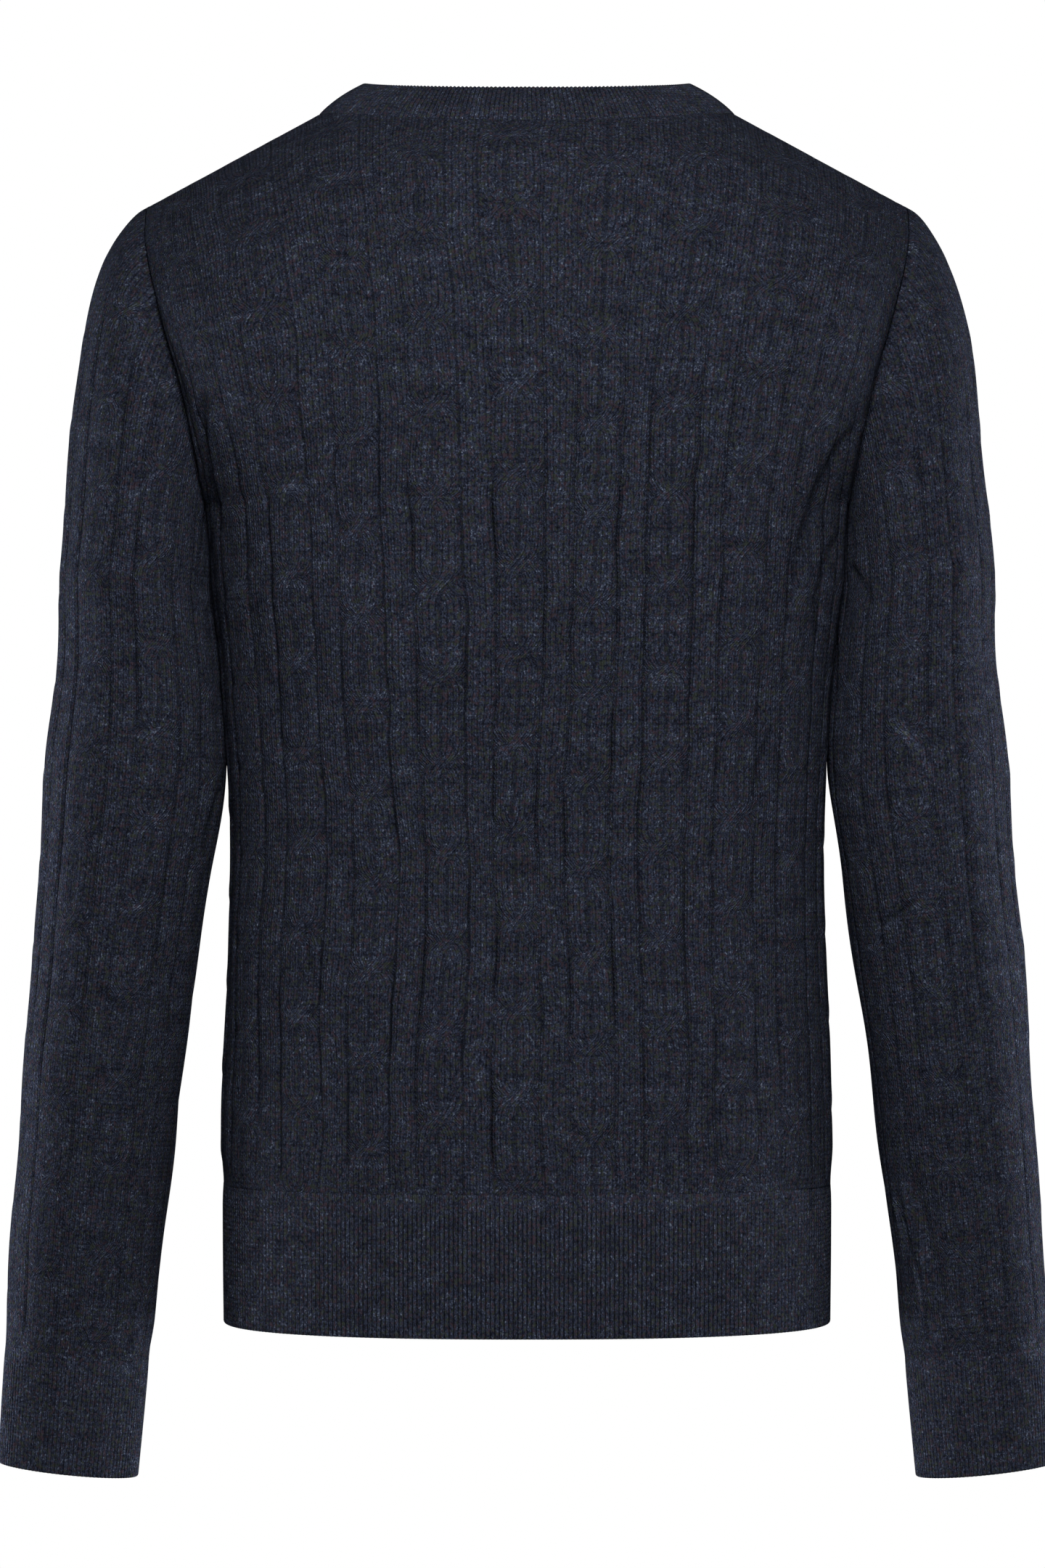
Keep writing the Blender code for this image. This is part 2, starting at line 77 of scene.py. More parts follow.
# Sections of the body: how far its back and its front bulge, and how square the section is.
BODY = (
    # z       back    front   square
    (0.002, 0.086, 0.072, 2.3),
    (-0.060, 0.090, 0.086, 2.4),
    (-0.120, 0.093, 0.102, 2.6),
    (-0.180, 0.092, 0.111, 2.8),
    (-0.240, 0.088, 0.110, 2.7),
    (-0.310, 0.082, 0.103, 2.6),
    (-0.371, 0.080, 0.098, 2.5),
    (-0.450, 0.087, 0.098, 2.5),
    (-0.528, 0.096, 0.101, 2.4),
    (-0.597, 0.098, 0.102, 2.4),
)
# Half width of the body, as the photo's outline gives it.
SIDE = (
    # z       half
    (-0.045, 0.1880),
    (-0.063, 0.1875),
    (-0.098, 0.1800),
    (-0.137, 0.1685),
    (-0.165, 0.1620),
    (-0.193, 0.1575),
    (-0.234, 0.1550),
    (-0.273, 0.1507),
    (-0.318, 0.1477),
    (-0.371, 0.1462),
    (-0.418, 0.1472),
    (-0.461, 0.1492),
    (-0.504, 0.1501),
    (-0.560, 0.1502),
    (-0.597, 0.1498),
)

# Creases of the body, as soft troughs: the side, the two ends, the half width and the depth.
BODY_CREASES = (
    # side     x0      z0      x1      z1      half    depth
    ("back", 0.158, -0.172, 0.124, -0.262, 0.012, 0.0032),
    ("back", -0.156, -0.180, -0.130, -0.250, 0.012, 0.0020),
    ("front", 0.150, -0.165, 0.112, -0.240, 0.013, 0.0030),
    ("front", -0.152, -0.168, -0.118, -0.232, 0.013, 0.0026),
)
CREASE_START = 0.25      # share of its length over which a crease starts, and over which it ends
CREASE_FINISH = 0.4

WALE = 0.0028            # width of a column of stitches, and height of a course
COURSE = 0.0022
CABLE_STEP = 0.0362      # from one cable to the next across the cloth
CABLE_HALF = 0.0111      # half width of a cable with its groove
CABLE_TURN = 0.0430      # length of cloth from one crossing to the next
CROSSING_PAINTED_HIGHLIGHT = 0.30     # painted highlight: how much paler the upper strand of a crossing is drawn
CABLE_HIGH = 0.0015      # how far a cable and a plain column stand proud
PLAIN_HIGH = 0.0007
GROUND_LOW = 0.00021     # how far the cloth between them lies back
CABLE_SQUARE = 6         # how square the shoulders of a cable and a plain column are
PLAIN_SQUARE = 4
GROOVE_DEEP = 0.0010
GROOVE_HALF = 0.0007
GROOVE_PRESS = 0.62      # how deep a groove is on the whole, how far that changes down the cloth,
GROOVE_CHANGE = 0.55     # over what length, and the least and most
GROOVE_WAVE = 0.075
GROOVE_LEAST = 0.08
GROOVE_MOST = 1.2
STRAND_SWING = 0.46      # a strand's swing and half width, in half widths of the cable
STRAND_HALF = 0.56
STRAND_UNDER = 0.68      # height of the strand that passes under, as a share of the cable's,
STRAND_OVER = 0.32       # and how much more the one over it has
CROSS_START = 0.22       # where a crossing starts in a turn, and the share of the turn it takes
CROSS_LONG = 0.56
STAGGER = 0.37           # each cable's crossings lie lower than its neighbour's, in turns,
STAGGER_MORE = 0.11      # and a little more or less
STAGGER_WAVE = 2.3
BACK_CUT_HALF = 0.193    # half width of the back's cut
ROW_SAMPLES = 1500       # the rows are spaced on a fine line down the cloth,
ROW_LINE = 0.45          # this share of the way from the middle to the side
WIDTH_SAMPLES = 400
LINING_STEP = 4          # the inner face has every fourth row and column of the outer one
LINING_SHADE = 0.2       # the purl side is a little darker
RIM_ANGLE = 78           # only the rims of a shell are sharper than this, in degrees
CREASE_BEND = 0.35       # how far a fine crease bows, as a share of its length
FINE_START = 0.12
RIDGE_HIGH = 0.45        # the low ridge beside a fine crease: its height beside the crease's depth,
RIDGE_OFF = 2.4          # and its distance and half width in half widths of the crease
RIDGE_HALF = 1.6
FINE_NARROW = 1.4        # a crease's painted shade is narrower than its dip
FINE_PAINTED_SHADE = 0.95         # painted shade in a fine crease, and painted highlight on a fine ridge
FINE_PAINTED_HIGHLIGHT = -1.80

# Sharp small creases of the back, with painted shade: the two ends, the half width and the depth.
BACK_FINE = (
    # x0      z0      x1      z1      half    depth
    (0.157, -0.152, 0.124, -0.256, 0.0028, 0.0024),
    (0.150, -0.205, 0.138, -0.268, 0.0022, 0.0012),
    (-0.159, -0.138, -0.144, -0.222, 0.0022, 0.0015),
    (-0.133, -0.236, -0.118, -0.300, 0.0016, 0.0006),
    (0.118, -0.300, 0.108, -0.352, 0.0018, 0.0006),
    (-0.108, -0.395, -0.096, -0.440, 0.0018, 0.0006),
)


def along(table, column, at):
    """One column of a table at any height, on a smooth curve through the table's rows."""
    rows = sorted(table)
    x = np.array([row[0] for row in rows])
    y = np.array([row[column] for row in rows])
    slope = np.gradient(y, x)
    at = np.clip(at, x[0], x[-1])
    k = np.clip(np.searchsorted(x, at) - 1, 0, len(x) - 2)
    step = x[k + 1] - x[k]
    t = (at - x[k]) / step
    return (y[k] * (1 + 2 * t) * (1 - t) ** 2 + y[k + 1] * t * t * (3 - 2 * t)
            + slope[k] * step * t * (1 - t) ** 2 - slope[k + 1] * step * t * t * (1 - t))


def ease(t):
    """A step from 0 to 1 with soft ends."""
    t = np.clip(t, 0.0, 1.0)
    return t * t * (3 - 2 * t)


def unit(vectors):
    """The same directions, each of length 1."""
    return vectors / np.maximum(np.linalg.norm(vectors, axis=-1, keepdims=True), TINY)


def shoulder_line(x):
    """Height of the shoulder seam, carried on across the neck as a soft arch."""
    fall = (NECK_Z - SHOULDER_Z) / (SHOULDER_HALF - NECK_HALF)
    inner = np.clip(NECK_HALF - x, 0, None)
    return NECK_Z - fall * np.clip(x - NECK_HALF, 0, None) + fall * NECK_SPREAD * (
        1 - np.exp(-inner / NECK_SPREAD))


def body_top(x, front):
    """Height of the upper edge of the body, across the neck seam and down the shoulder seam."""
    arc = np.sqrt(np.clip(1 - (x / NECK_HALF) ** 2, 0, 1))
    drop = (NECK_FRONT_DROP if front else NECK_BACK_DROP) * arc ** NECK_CURVE
    return np.where(x < NECK_HALF, NECK_Z - drop, shoulder_line(x))


def armhole(turn, front):
    """A point of the armhole seam: turn runs from 0 at the shoulder to 1 at the underarm."""
    z = ARMHOLE_Z + ARMHOLE_RISE * np.cos(math.pi * turn)
    reach = ARMHOLE_FRONT if front else -ARMHOLE_BACK
    return along(SIDE, 1, z), reach * np.sin(math.pi * turn), z


def crease_depth(x, z, front):
    """How far the large creases push the cloth in."""
    depth = np.zeros(np.broadcast(x, z).shape)
    for side, x0, z0, x1, z1, half, deep in BODY_CREASES:
        if (side == "front") != front:
            continue
        run = math.hypot(x1 - x0, z1 - z0)
        t = ((x - x0) * (x1 - x0) + (z - z0) * (z1 - z0)) / run ** 2
        off = ((x - x0) * (z1 - z0) - (z - z0) * (x1 - x0)) / run
        ends = ease(t / CREASE_START) * ease((1 - t) / CREASE_FINISH)
        depth += deep * np.exp(-(off / half) ** 2) * ends
    return depth


def body_point(x_share, row, front, inset=0.0):
    """A point of the body's outer face.

    x_share runs from 0 at the middle (or at inset from it) to 1 at the side, negative on the left.
    row runs from 0 at the shoulder and neck seams to 1 at the underarm, and then adds the drop
    below the underarm in metres.
    """
    x_share, row = np.broadcast_arrays(np.asarray(x_share, float), np.asarray(row, float))
    turn = np.clip(row, 0, 1)
    edge_x, edge_y, edge_z = armhole(turn, front)
    below = np.clip(row - 1, 0, None)
    edge_z = edge_z - below
    edge_x = np.where(below > 0, along(SIDE, 1, edge_z), edge_x)

    side = np.where(x_share < 0, -1.0, 1.0)
    share = np.abs(x_share)
    swell = np.maximum(np.sin(math.pi * turn), TINY)
    edge_y = np.where(below > 0, 0.0, edge_y * swell ** (ARMHOLE_SWELL * (1 - share ** ARMHOLE_EDGE)))
    top_x = inset + (SHOULDER_HALF - inset) * share
    top_z = body_top(top_x, front)
    z = top_z + (UNDERARM_Z - top_z) * (1 - np.cos(math.pi * turn)) / 2 - below
    x = inset + (edge_x - inset) * share

    near, far = ROUND_FRONT if front else ROUND_BACK
    start = math.radians(ROUND_START)
    fall = (shoulder_line(top_x) - z) / (near + (far - near) * ease(top_x / SHOULDER_HALF))
    slope = np.arccos(np.cos(start) * (1 - np.clip(fall, 0, 1)))
    out = (np.sin(slope) - np.sin(start)) / (1 - np.sin(start))

    square = along(BODY, 3, z)
    power = 1 / square + (ARMHOLE_FLAT - 1 / square) * ease(1 - turn) ** 2
    crown = np.clip(1 - (x / edge_x) ** square, 0, 1) ** power
    full = along(BODY, 2 if front else 1, z) * (1 if front else -1)
    y = edge_y * (1 - crown) + full * out * crown
    y = y + crease_depth(x * side, z, front) * (-1 if front else 1) * np.where(share < 1, 1, 0)
    return np.stack([x * side, y, z], axis=-1)


def run_length(points, axis):
    """Distance run along a grid of points in one direction, from its first line."""
    steps = np.linalg.norm(np.diff(points, axis=axis), axis=-1)
    start = np.zeros_like(np.take(steps, [0], axis=axis))
    return np.concatenate([start, np.cumsum(steps, axis=axis)], axis=axis)


def even_rows(front, first, last, step):
    """Rows of the body's grid at an even distance down the cloth, between two row values."""
    fine = np.linspace(first, last, ROW_SAMPLES)
    line = body_point(ROW_LINE, fine, front, BAND_HALF if front else 0.0)
    length = run_length(line[:, None], 0)[:, 0]
    count = max(2, int(round(length[-1] / step)) + 1)
    return np.interp(np.linspace(0, length[-1], count), length, fine)


def panel_rows(front, step):
    """Rows of a body panel, from the shoulder and neck seams to the rib seam."""
    upper = even_rows(front, 0.0, 1.0, step)
    lower = 1 + np.arange(0, UNDERARM_Z - RIB_Z - step / 2, step)[1:]
    return np.concatenate([upper, lower, [1 + UNDERARM_Z - RIB_Z - TOUCH]])


def panel_points(places, cut_half, rows, front):
    """Points of a body panel. places holds distances over the flat cloth, negative on the left,
    which are spread along the built form as they are at the waist."""
    inset = BAND_HALF if front else 0.0
    across = (places - inset) / (cut_half - inset)
    shares = np.sin(np.linspace(0, math.pi / 2, WIDTH_SAMPLES))
    waist = body_point(shares[None, :], np.array([[1 + UNDERARM_Z - WAIST_Z]]), front, inset)
    length = run_length(waist, 1)[0]
    share = np.interp(np.abs(across), length / length[-1], shares)
    share = np.where(across < 0, -share, share)
    return body_point(share, rows[:, None], front, inset)


def grid_normals(points, ring=False, outward=1.0):
    """Unit normals of a grid of points, out of the garment. outward is -1 for a grid that runs the
    other way across, and a ring closes on itself."""
    if ring:
        around = np.roll(points, -1, axis=1) - np.roll(points, 1, axis=1)
    else:
        around = np.gradient(points, axis=1)
    down = np.gradient(points, axis=0)
    return unit(np.cross(down, around)) * outward


def cloth(name, outer, normals, relief, stitches, material, ring=False):
    """A closed shell of cloth. Its outer face is the grid moved out by the relief, and its coarser
    inner face is moved in by the wall. stitches holds wales, courses and painted shade for each
    point."""
    rows, columns = outer.shape[:2]
    face = outer + normals * relief[..., None]
    lines = sorted(set(range(0, rows, LINING_STEP)) | {rows - 1})
    posts = sorted(set(range(0, columns, LINING_STEP)) | (set() if ring else {columns - 1}))
    lining = (outer - normals * WALL)[np.ix_(lines, posts)]
    places = np.concatenate([face.reshape(-1, 3), lining.reshape(-1, 3)])
    inside = stitches[np.ix_(lines, posts)].copy()
    inside[..., 2] = LINING_SHADE
    marks = np.concatenate([stitches.reshape(-1, 3), inside.reshape(-1, 3)])
    front = np.arange(rows * columns).reshape(rows, columns)
    behind = rows * columns + np.arange(len(lines) * len(posts)).reshape(len(lines), len(posts))
    if ring:
        front = np.concatenate([front, front[:, :1]], axis=1)
        behind = np.concatenate([behind, behind[:, :1]], axis=1)
        posts = posts + [columns]
    quads = [np.stack([front[:-1, :-1], front[:-1, 1:], front[1:, 1:], front[1:, :-1]], -1),
             np.stack([behind[:-1, :-1], behind[1:, :-1], behind[1:, 1:], behind[:-1, 1:]], -1)]
    faces = [tuple(quad) for part in quads for quad in part.reshape(-1, 4).tolist()]
    rims = [(front[0], behind[0], posts, True), (front[-1], behind[-1], posts, False)]
    if not ring:
        rims += [(front[:, 0], behind[:, 0], lines, False), (front[:, -1], behind[:, -1], lines, True)]
    for edge, post, stops, turned in rims:
        for k in range(len(stops) - 1):
            a, b = stops[k], stops[k + 1]
            middle = (a + b) // 2
            rim = [(edge[p], edge[p + 1], post[k] if p < middle else post[k + 1]) for p in range(a, b)]
            rim.append((edge[middle], post[k + 1], post[k]))
            faces += [tuple(int(v) for v in (tri[::-1] if turned else tri)) for tri in rim]
    corner = np.cross(face[1, 0] - face[0, 0], face[0, 1] - face[0, 0])
    if np.dot(corner, normals[0, 0]) > 0:
        faces = [item[::-1] for item in faces]
    data = bpy.data.meshes.new(name)
    data.from_pydata(places.tolist(), [], faces)
    data.attributes.new("stitch", "FLOAT_VECTOR", "POINT").data.foreach_set("vector", marks.ravel())
    data.shade_smooth()
    data.set_sharp_from_angle(angle=math.radians(RIM_ANGLE))
    data.materials.append(material)
    piece = bpy.data.objects.new(name, data)
    bpy.context.scene.collection.objects.link(piece)
    return piece


def linear(code):
    """A linear colour from its sRGB hex."""
    parts = [int(code[i:i + 2], 16) / 255 for i in (1, 3, 5)]
    return [c / 12.92 if c <= 0.04045 else ((c + 0.055) / 1.055) ** 2.4 for c in parts] + [1.0]


def add(tree, kind, settings=None, inputs=()):
    """Adds one shader node. settings are its own options; inputs are values or links, by name or
    in order."""
    made = tree.nodes.new("ShaderNode" + kind)
    for name, value in (settings or {}).items():
        setattr(made, name, value)
    for name, value in (inputs.items() if isinstance(inputs, dict) else enumerate(inputs)):
        if isinstance(value, bpy.types.NodeSocket):
            tree.links.new(value, made.inputs[name])
        else:
            made.inputs[name].default_value = value
    return made


YARN = (                 # the tones of fibre carded together in the navy yarn, dark to pale
    # tone  colour
    (0.00, "#0b0c11"),
    (0.45, "#171a24"),
    (0.80, "#272c39"),
    (1.00, "#464c57"),
)
YARN_PLUM = "#271e23"
YARN_MOSS = "#20241e"
YARN_HAIR = "#8b98b5"    # light caught by loose fibre ends
TUFT = (1.9, 0.95, 0.0)  # tufts to a wale and to a course: 1.5 mm wide, 2.3 mm long
PATCH = (0.30, 0.24, 0.0)      # uneven patches of yarn, about 9 mm across
HAIR_PITCH = 1300.0      # single fibres, drawn about 0.8 mm long because real ones are too fine
DYE_PITCH = 520.0        # spots of plum and moss fibre, about 2 mm across
TUFT_TONE = 1.9          # how far tufts, hairs and patches change the tone
HAIR_TONE = 1.6
PATCH_TONE = 0.80
TONE_START = -1.69
DYE_RANGE = (0.52, 0.68)       # noise at which plum or moss fibre starts, and is at its most
DYE_MOST = 0.8
WALES_ON = 400.0         # keeps the count of wales above zero, where a stitch repeats evenly
LEG_LEAN = -1.1          # courses that a stitch's leg rises over, for each wale out
LEG_WAVE = 0.35          # a stitch's leg swells and narrows by this share of its height
HOLLOW_PAINTED_SHADE = 0.30          # painted shade: how much paler a stitch's legs are drawn than its hollows
WALE_EDGE = 0.30         # where the painted shade in the hollow between wales starts, in wales from the middle of one
OPEN_TONE = 1.06         # tone on the open cloth, and the painted shade in the bottom of a groove
GROOVE_PAINTED_SHADE = 0.52
LEAST_TONE = 0.15
STITCH_DEEP = 0.0008     # depth of the hollows of a stitch
HAIR_RISE = 0.8          # height of hairs and tufts, as a share of that
TUFT_RISE = 0.9


def merino(name, stitch_bump, wale_shade, lift=1.0):
    """Carded merino yarn, spun from dark, navy, pale, plum and moss fibres: matt, slightly hairy,
    and mottled at the width of a stitch, with each stitch a pair of leaning legs. Painted shade
    darkens the hollows between a stitch's legs and between wales, and the places that the stitch
    attribute marks, and painted highlight pales the places it marks below zero. wale_shade is the
    painted shade between two wales, and lift makes the whole cloth paler."""
    material = bpy.data.materials.new(name)
    material.use_nodes = True
    tree = material.node_tree
    shader = tree.nodes["Principled BSDF"]
    marks = add(tree, "Attribute", {"attribute_name": "stitch"}).outputs["Vector"]
    split = add(tree, "SeparateXYZ", {}, [marks])
    place = add(tree, "TexCoord").outputs["Object"]
    times = {"operation": "MULTIPLY"}
    times_plus = {"operation": "MULTIPLY_ADD"}

    # a stitch: two legs to a wale, which lean away from its middle
    wales = add(tree, "Math", {"operation": "ADD"}, [split.outputs["X"], WALES_ON]).outputs[0]
    side = add(tree, "Math", {"operation": "PINGPONG"}, [wales, 0.5]).outputs[0]
    turn = add(tree, "Math", times, [side, 2 * math.pi]).outputs[0]
    leg = add(tree, "Math", {"operation": "SINE"}, [turn]).outputs[0]
    lean = add(tree, "Math", times_plus, [side, LEG_LEAN, split.outputs["Y"]]).outputs[0]
    turn = add(tree, "Math", times, [lean, 2 * math.pi]).outputs[0]
    wave = add(tree, "Math", {"operation": "SINE"}, [turn]).outputs[0]
    wave = add(tree, "Math", times_plus, [wave, LEG_WAVE, 1 - LEG_WAVE]).outputs[0]
    stitch = add(tree, "Math", times, [leg, wave]).outputs[0]

    # fibres: tufts half a wale wide and a course long, single hairs, and slow patches of yarn
    spot = add(tree, "Mapping", {}, {"Vector": marks, "Scale": TUFT}).outputs[0]
    tuft = add(tree, "TexNoise", {}, {"Vector": spot, "Scale": 1.0, "Detail": 3.0, "Roughness": 0.75})
    tuft = tuft.outputs["Fac"]
    hair = add(tree, "TexNoise", {}, {"Vector": place, "Scale": HAIR_PITCH, "Detail": 2.0}).outputs["Fac"]
    spot = add(tree, "Mapping", {}, {"Vector": marks, "Scale": PATCH}).outputs[0]
    patch = add(tree, "TexNoise", {}, {"Vector": spot, "Scale": 1.0, "Detail": 3.0}).outputs["Fac"]
    tone = add(tree, "Math", times_plus, [tuft, TUFT_TONE, TONE_START]).outputs[0]
    tone = add(tree, "Math", times_plus, [hair, HAIR_TONE, tone]).outputs[0]
    tone = add(tree, "Math", times_plus, [patch, PATCH_TONE, tone]).outputs[0]
    ramp = add(tree, "ValToRGB", {}, [tone])
    stops = ramp.color_ramp.elements
    stops.remove(stops[1])
    stops[0].color = linear(YARN[0][1])
    for position, code in YARN[1:]:
        stops.new(position).color = linear(code)
    mixed = ramp.outputs[0]
    tint = add(tree, "TexNoise", {}, {"Vector": place, "Scale": DYE_PITCH, "Detail": 2.0})
    dyed = add(tree, "SeparateColor", {}, {"Color": tint.outputs["Color"]})
    for part, yarn in (("Red", YARN_PLUM), ("Green", YARN_MOSS)):
        share = add(tree, "MapRange", {}, [dyed.outputs[part], *DYE_RANGE, 0.0, DYE_MOST]).outputs[0]
        mixed = add(tree, "Mix", {"data_type": "RGBA"}, {0: share, 6: mixed, 7: linear(yarn)}).outputs[2]

    # painted shade in the hollows between wales, stitches and columns
    wale = add(tree, "MapRange", {}, [side, WALE_EDGE, 0.5, 1.0, wale_shade]).outputs[0]
    # painted shade from the stitch attribute's third part, and painted highlight where it is below zero
    deep = add(tree, "MapRange", {"clamp": False},
               [split.outputs["Z"], 0.0, 1.0, OPEN_TONE * lift, GROOVE_PAINTED_SHADE * lift]).outputs[0]
    deep = add(tree, "Math", {"operation": "MAXIMUM"}, [deep, LEAST_TONE]).outputs[0]
    hollow = add(tree, "Math", times_plus, [stitch, HOLLOW_PAINTED_SHADE, 1 - HOLLOW_PAINTED_SHADE / 2]).outputs[0]
    hollow = add(tree, "Math", times, [hollow, wale]).outputs[0]
    shade = add(tree, "Math", times, [hollow, deep]).outputs[0]
    final = add(tree, "VectorMath", {"operation": "SCALE"}, {0: mixed, "Scale": shade})
    tree.links.new(final.outputs[0], shader.inputs["Base Color"])

    fine = add(tree, "Math", times_plus, [hair, HAIR_RISE, stitch]).outputs[0]
    fine = add(tree, "Math", times_plus, [tuft, TUFT_RISE, fine]).outputs[0]
    bump = add(tree, "Bump", {}, {"Strength": stitch_bump, "Distance": STITCH_DEEP, "Height": fine})
    tree.links.new(bump.outputs[0], shader.inputs["Normal"])
    shader.inputs["Roughness"].default_value = 0.93
    shader.inputs["IOR"].default_value = 1.45
    shader.inputs["Specular IOR Level"].default_value = 0.0
    shader.inputs["Sheen Weight"].default_value = 0.02
    shader.inputs["Sheen Roughness"].default_value = 0.4
    shader.inputs["Sheen Tint"].default_value = linear(YARN_HAIR)
    return material


wool = merino("carded_merino_cable_knit", stitch_bump=0.75, wale_shade=0.66)

GROOVE_LINES = (-2, -1, 0, 1, 2)
GROOVE_LINE = 0.000434   # distance between the grid's columns in a groove
GRID_EDGE = 0.003        # no groove is drawn closer than this to the edge of the cloth
GAP_MOST = 1.5           # a gap wider than this many spacings is filled


def cable_columns(centres, low, high, spacing):
    """Places across the cloth for the grid's columns: close together at the grooves beside each
    cable, and evenly spread over the cables and plain columns between them."""
    grooves = [c + s * CABLE_HALF for c in centres for s in (-1, 1)]
    places = [low, high]
    for groove in grooves:
        if low + GRID_EDGE < groove < high - GRID_EDGE:
            places += [groove + k * GROOVE_LINE for k in GROOVE_LINES]
    places.sort()
    filled = [places[0]]
    for here in places[1:]:
        gap = here - filled[-1]
        if gap > GAP_MOST * spacing:
            extra = int(math.ceil(gap / spacing))
            filled += [filled[-1] + gap * (k + 1) / extra for k in range(extra - 1)]
        filled.append(here)
    return np.array(filled)


def cable_relief(u, v, centres, high, seed):
    """Height of the cables and plain columns over the grooves, the wale there, and the painted
    shade: how deep in a groove each point lies, and less than zero where a painted highlight
    lies on a crossing.

    u runs across the cloth and v down it, in metres. high scales the relief at each point, and
    the grooves come and go down the cloth."""
    height = np.full(u.shape, -GROUND_LOW)
    wale = u / WALE
    shade = np.zeros(u.shape)
    for number, centre in enumerate(centres):
        off = u - centre
        near = np.abs(off) < CABLE_HALF
        turns = v / CABLE_TURN + STAGGER * number + STAGGER_MORE * math.sin(STAGGER_WAVE * number)
        whole = np.floor(turns)
        swing = math.pi * (whole + ease((turns - whole - CROSS_START) / CROSS_LONG))
        best = np.full(u.shape, -1.0)
        lean = np.zeros(u.shape)
        for strand in (-1, 1):
            middle = strand * STRAND_SWING * CABLE_HALF * np.cos(swing)
            lift = 0.5 + 0.5 * strand * np.sin(swing)
            over = np.clip(1 - ((off - middle) / (STRAND_HALF * CABLE_HALF)) ** 2, 0, 1)
            form = np.sqrt(over) * (STRAND_UNDER + STRAND_OVER * lift)
            # painted highlight on the upper strand of a crossing
            shade = shade - CROSSING_PAINTED_HIGHLIGHT * over * np.clip(2 * lift - 1, 0, 1) ** 2 * near
            lean = np.where(form > best, middle, lean)
            best = np.maximum(best, form)
        body = best * CABLE_HIGH * (1 - (np.abs(off) / CABLE_HALF) ** CABLE_SQUARE).clip(0)
        height = np.where(near, body, height)
        wale = np.where(near, (u - lean) / WALE, wale)
    for centre in [c + CABLE_STEP / 2 for c in centres] + [centres[0] - CABLE_STEP / 2]:
        off = np.abs(u - centre) / (CABLE_STEP / 2 - CABLE_HALF)
        height = np.where(off < 1, PLAIN_HIGH * (1 - off ** PLAIN_SQUARE), height)
    for centre in centres:
        for side in (-1, 1):
            seed += 1
            press = GROOVE_PRESS + GROOVE_CHANGE * soft_noise(0.0, v, GROOVE_WAVE, seed)
            press = np.clip(press, GROOVE_LEAST, GROOVE_MOST)
            groove = press * np.exp(-((u - centre - side * CABLE_HALF) / GROOVE_HALF) ** 2)
            height = height - GROOVE_DEEP * groove
            # painted shade in the groove
            shade = shade + groove
    return height * high, wale, shade * high


NOISE_WAVES = 6
NOISE_LENGTHS = (0.7, 1.6)
NOISE_SUM = 3.5          # brings the sum of the waves to about -1 to 1


def soft_noise(u, v, size, seed):
    """A slow, smooth unevenness from -1 to 1, from a few crossed waves."""
    draw = np.random.default_rng(seed)
    total = np.zeros(np.broadcast(u, v).shape)
    for _ in range(NOISE_WAVES):
        angle = draw.uniform(0, math.pi)
        wave = size * draw.uniform(*NOISE_LENGTHS)
        total += np.sin((u * math.cos(angle) + v * math.sin(angle)) * 2 * math.pi / wave
                        + draw.uniform(0, 2 * math.pi))
    return total / NOISE_SUM


BACK_CABLE = -0.005      # the middle cable of the back, and how many lie on each side of it
CABLES_BESIDE = 5
BACK_CABLES = [BACK_CABLE + CABLE_STEP * k for k in range(-CABLES_BESIDE, CABLES_BESIDE + 1)]
YOKE_RELIEF = 0.10       # share of the relief left on the yoke, its lower end and the fade below it
YOKE_Z = -0.085
YOKE_FADE = 0.110
SIDE_FADE = 0.010        # the relief fades out toward the side seams, and toward the rib
RIB_FADE = 0.020
SEAM_HALF = 0.0022       # half width of the dip at a seam, its depth at the sides and at the top, and its painted shade
SEAM_DEEP = 0.0004
TOP_SEAM_DEEP = 0.0001
SEAM_SHADE = 0.35
UNEVEN_HIGH = 0.0007     # the cloth's slow unevenness: height, width, and the fade at the seams
UNEVEN_WIDE = 0.09
UNEVEN_FADE = 0.02


def body_relief(u, v, z, side_gap, top_gap, centres, seed):
    """Relief of a body panel: cables that fade toward the yoke, drawn-in seams, and unevenness,
    with painted shade in its grooves and seams.
    """
    yoke = YOKE_RELIEF + (1 - YOKE_RELIEF) * ease((YOKE_Z - z) / YOKE_FADE)
    high = yoke * ease(side_gap / SIDE_FADE) * ease((z - RIB_Z) / RIB_FADE)
    height, wale, shade = cable_relief(u, v, centres, high, seed)
    seam = np.exp(-(side_gap / SEAM_HALF) ** 2)
    height = height - SEAM_DEEP * seam - TOP_SEAM_DEEP * np.exp(-(top_gap / SEAM_HALF) ** 2)
    inside = ease(side_gap / UNEVEN_FADE) * ease(top_gap / UNEVEN_FADE)
    height = height + UNEVEN_HIGH * soft_noise(u, v, UNEVEN_WIDE, seed) * inside
    # painted shade in the dip at the seams
    return height, wale, shade + SEAM_SHADE * seam


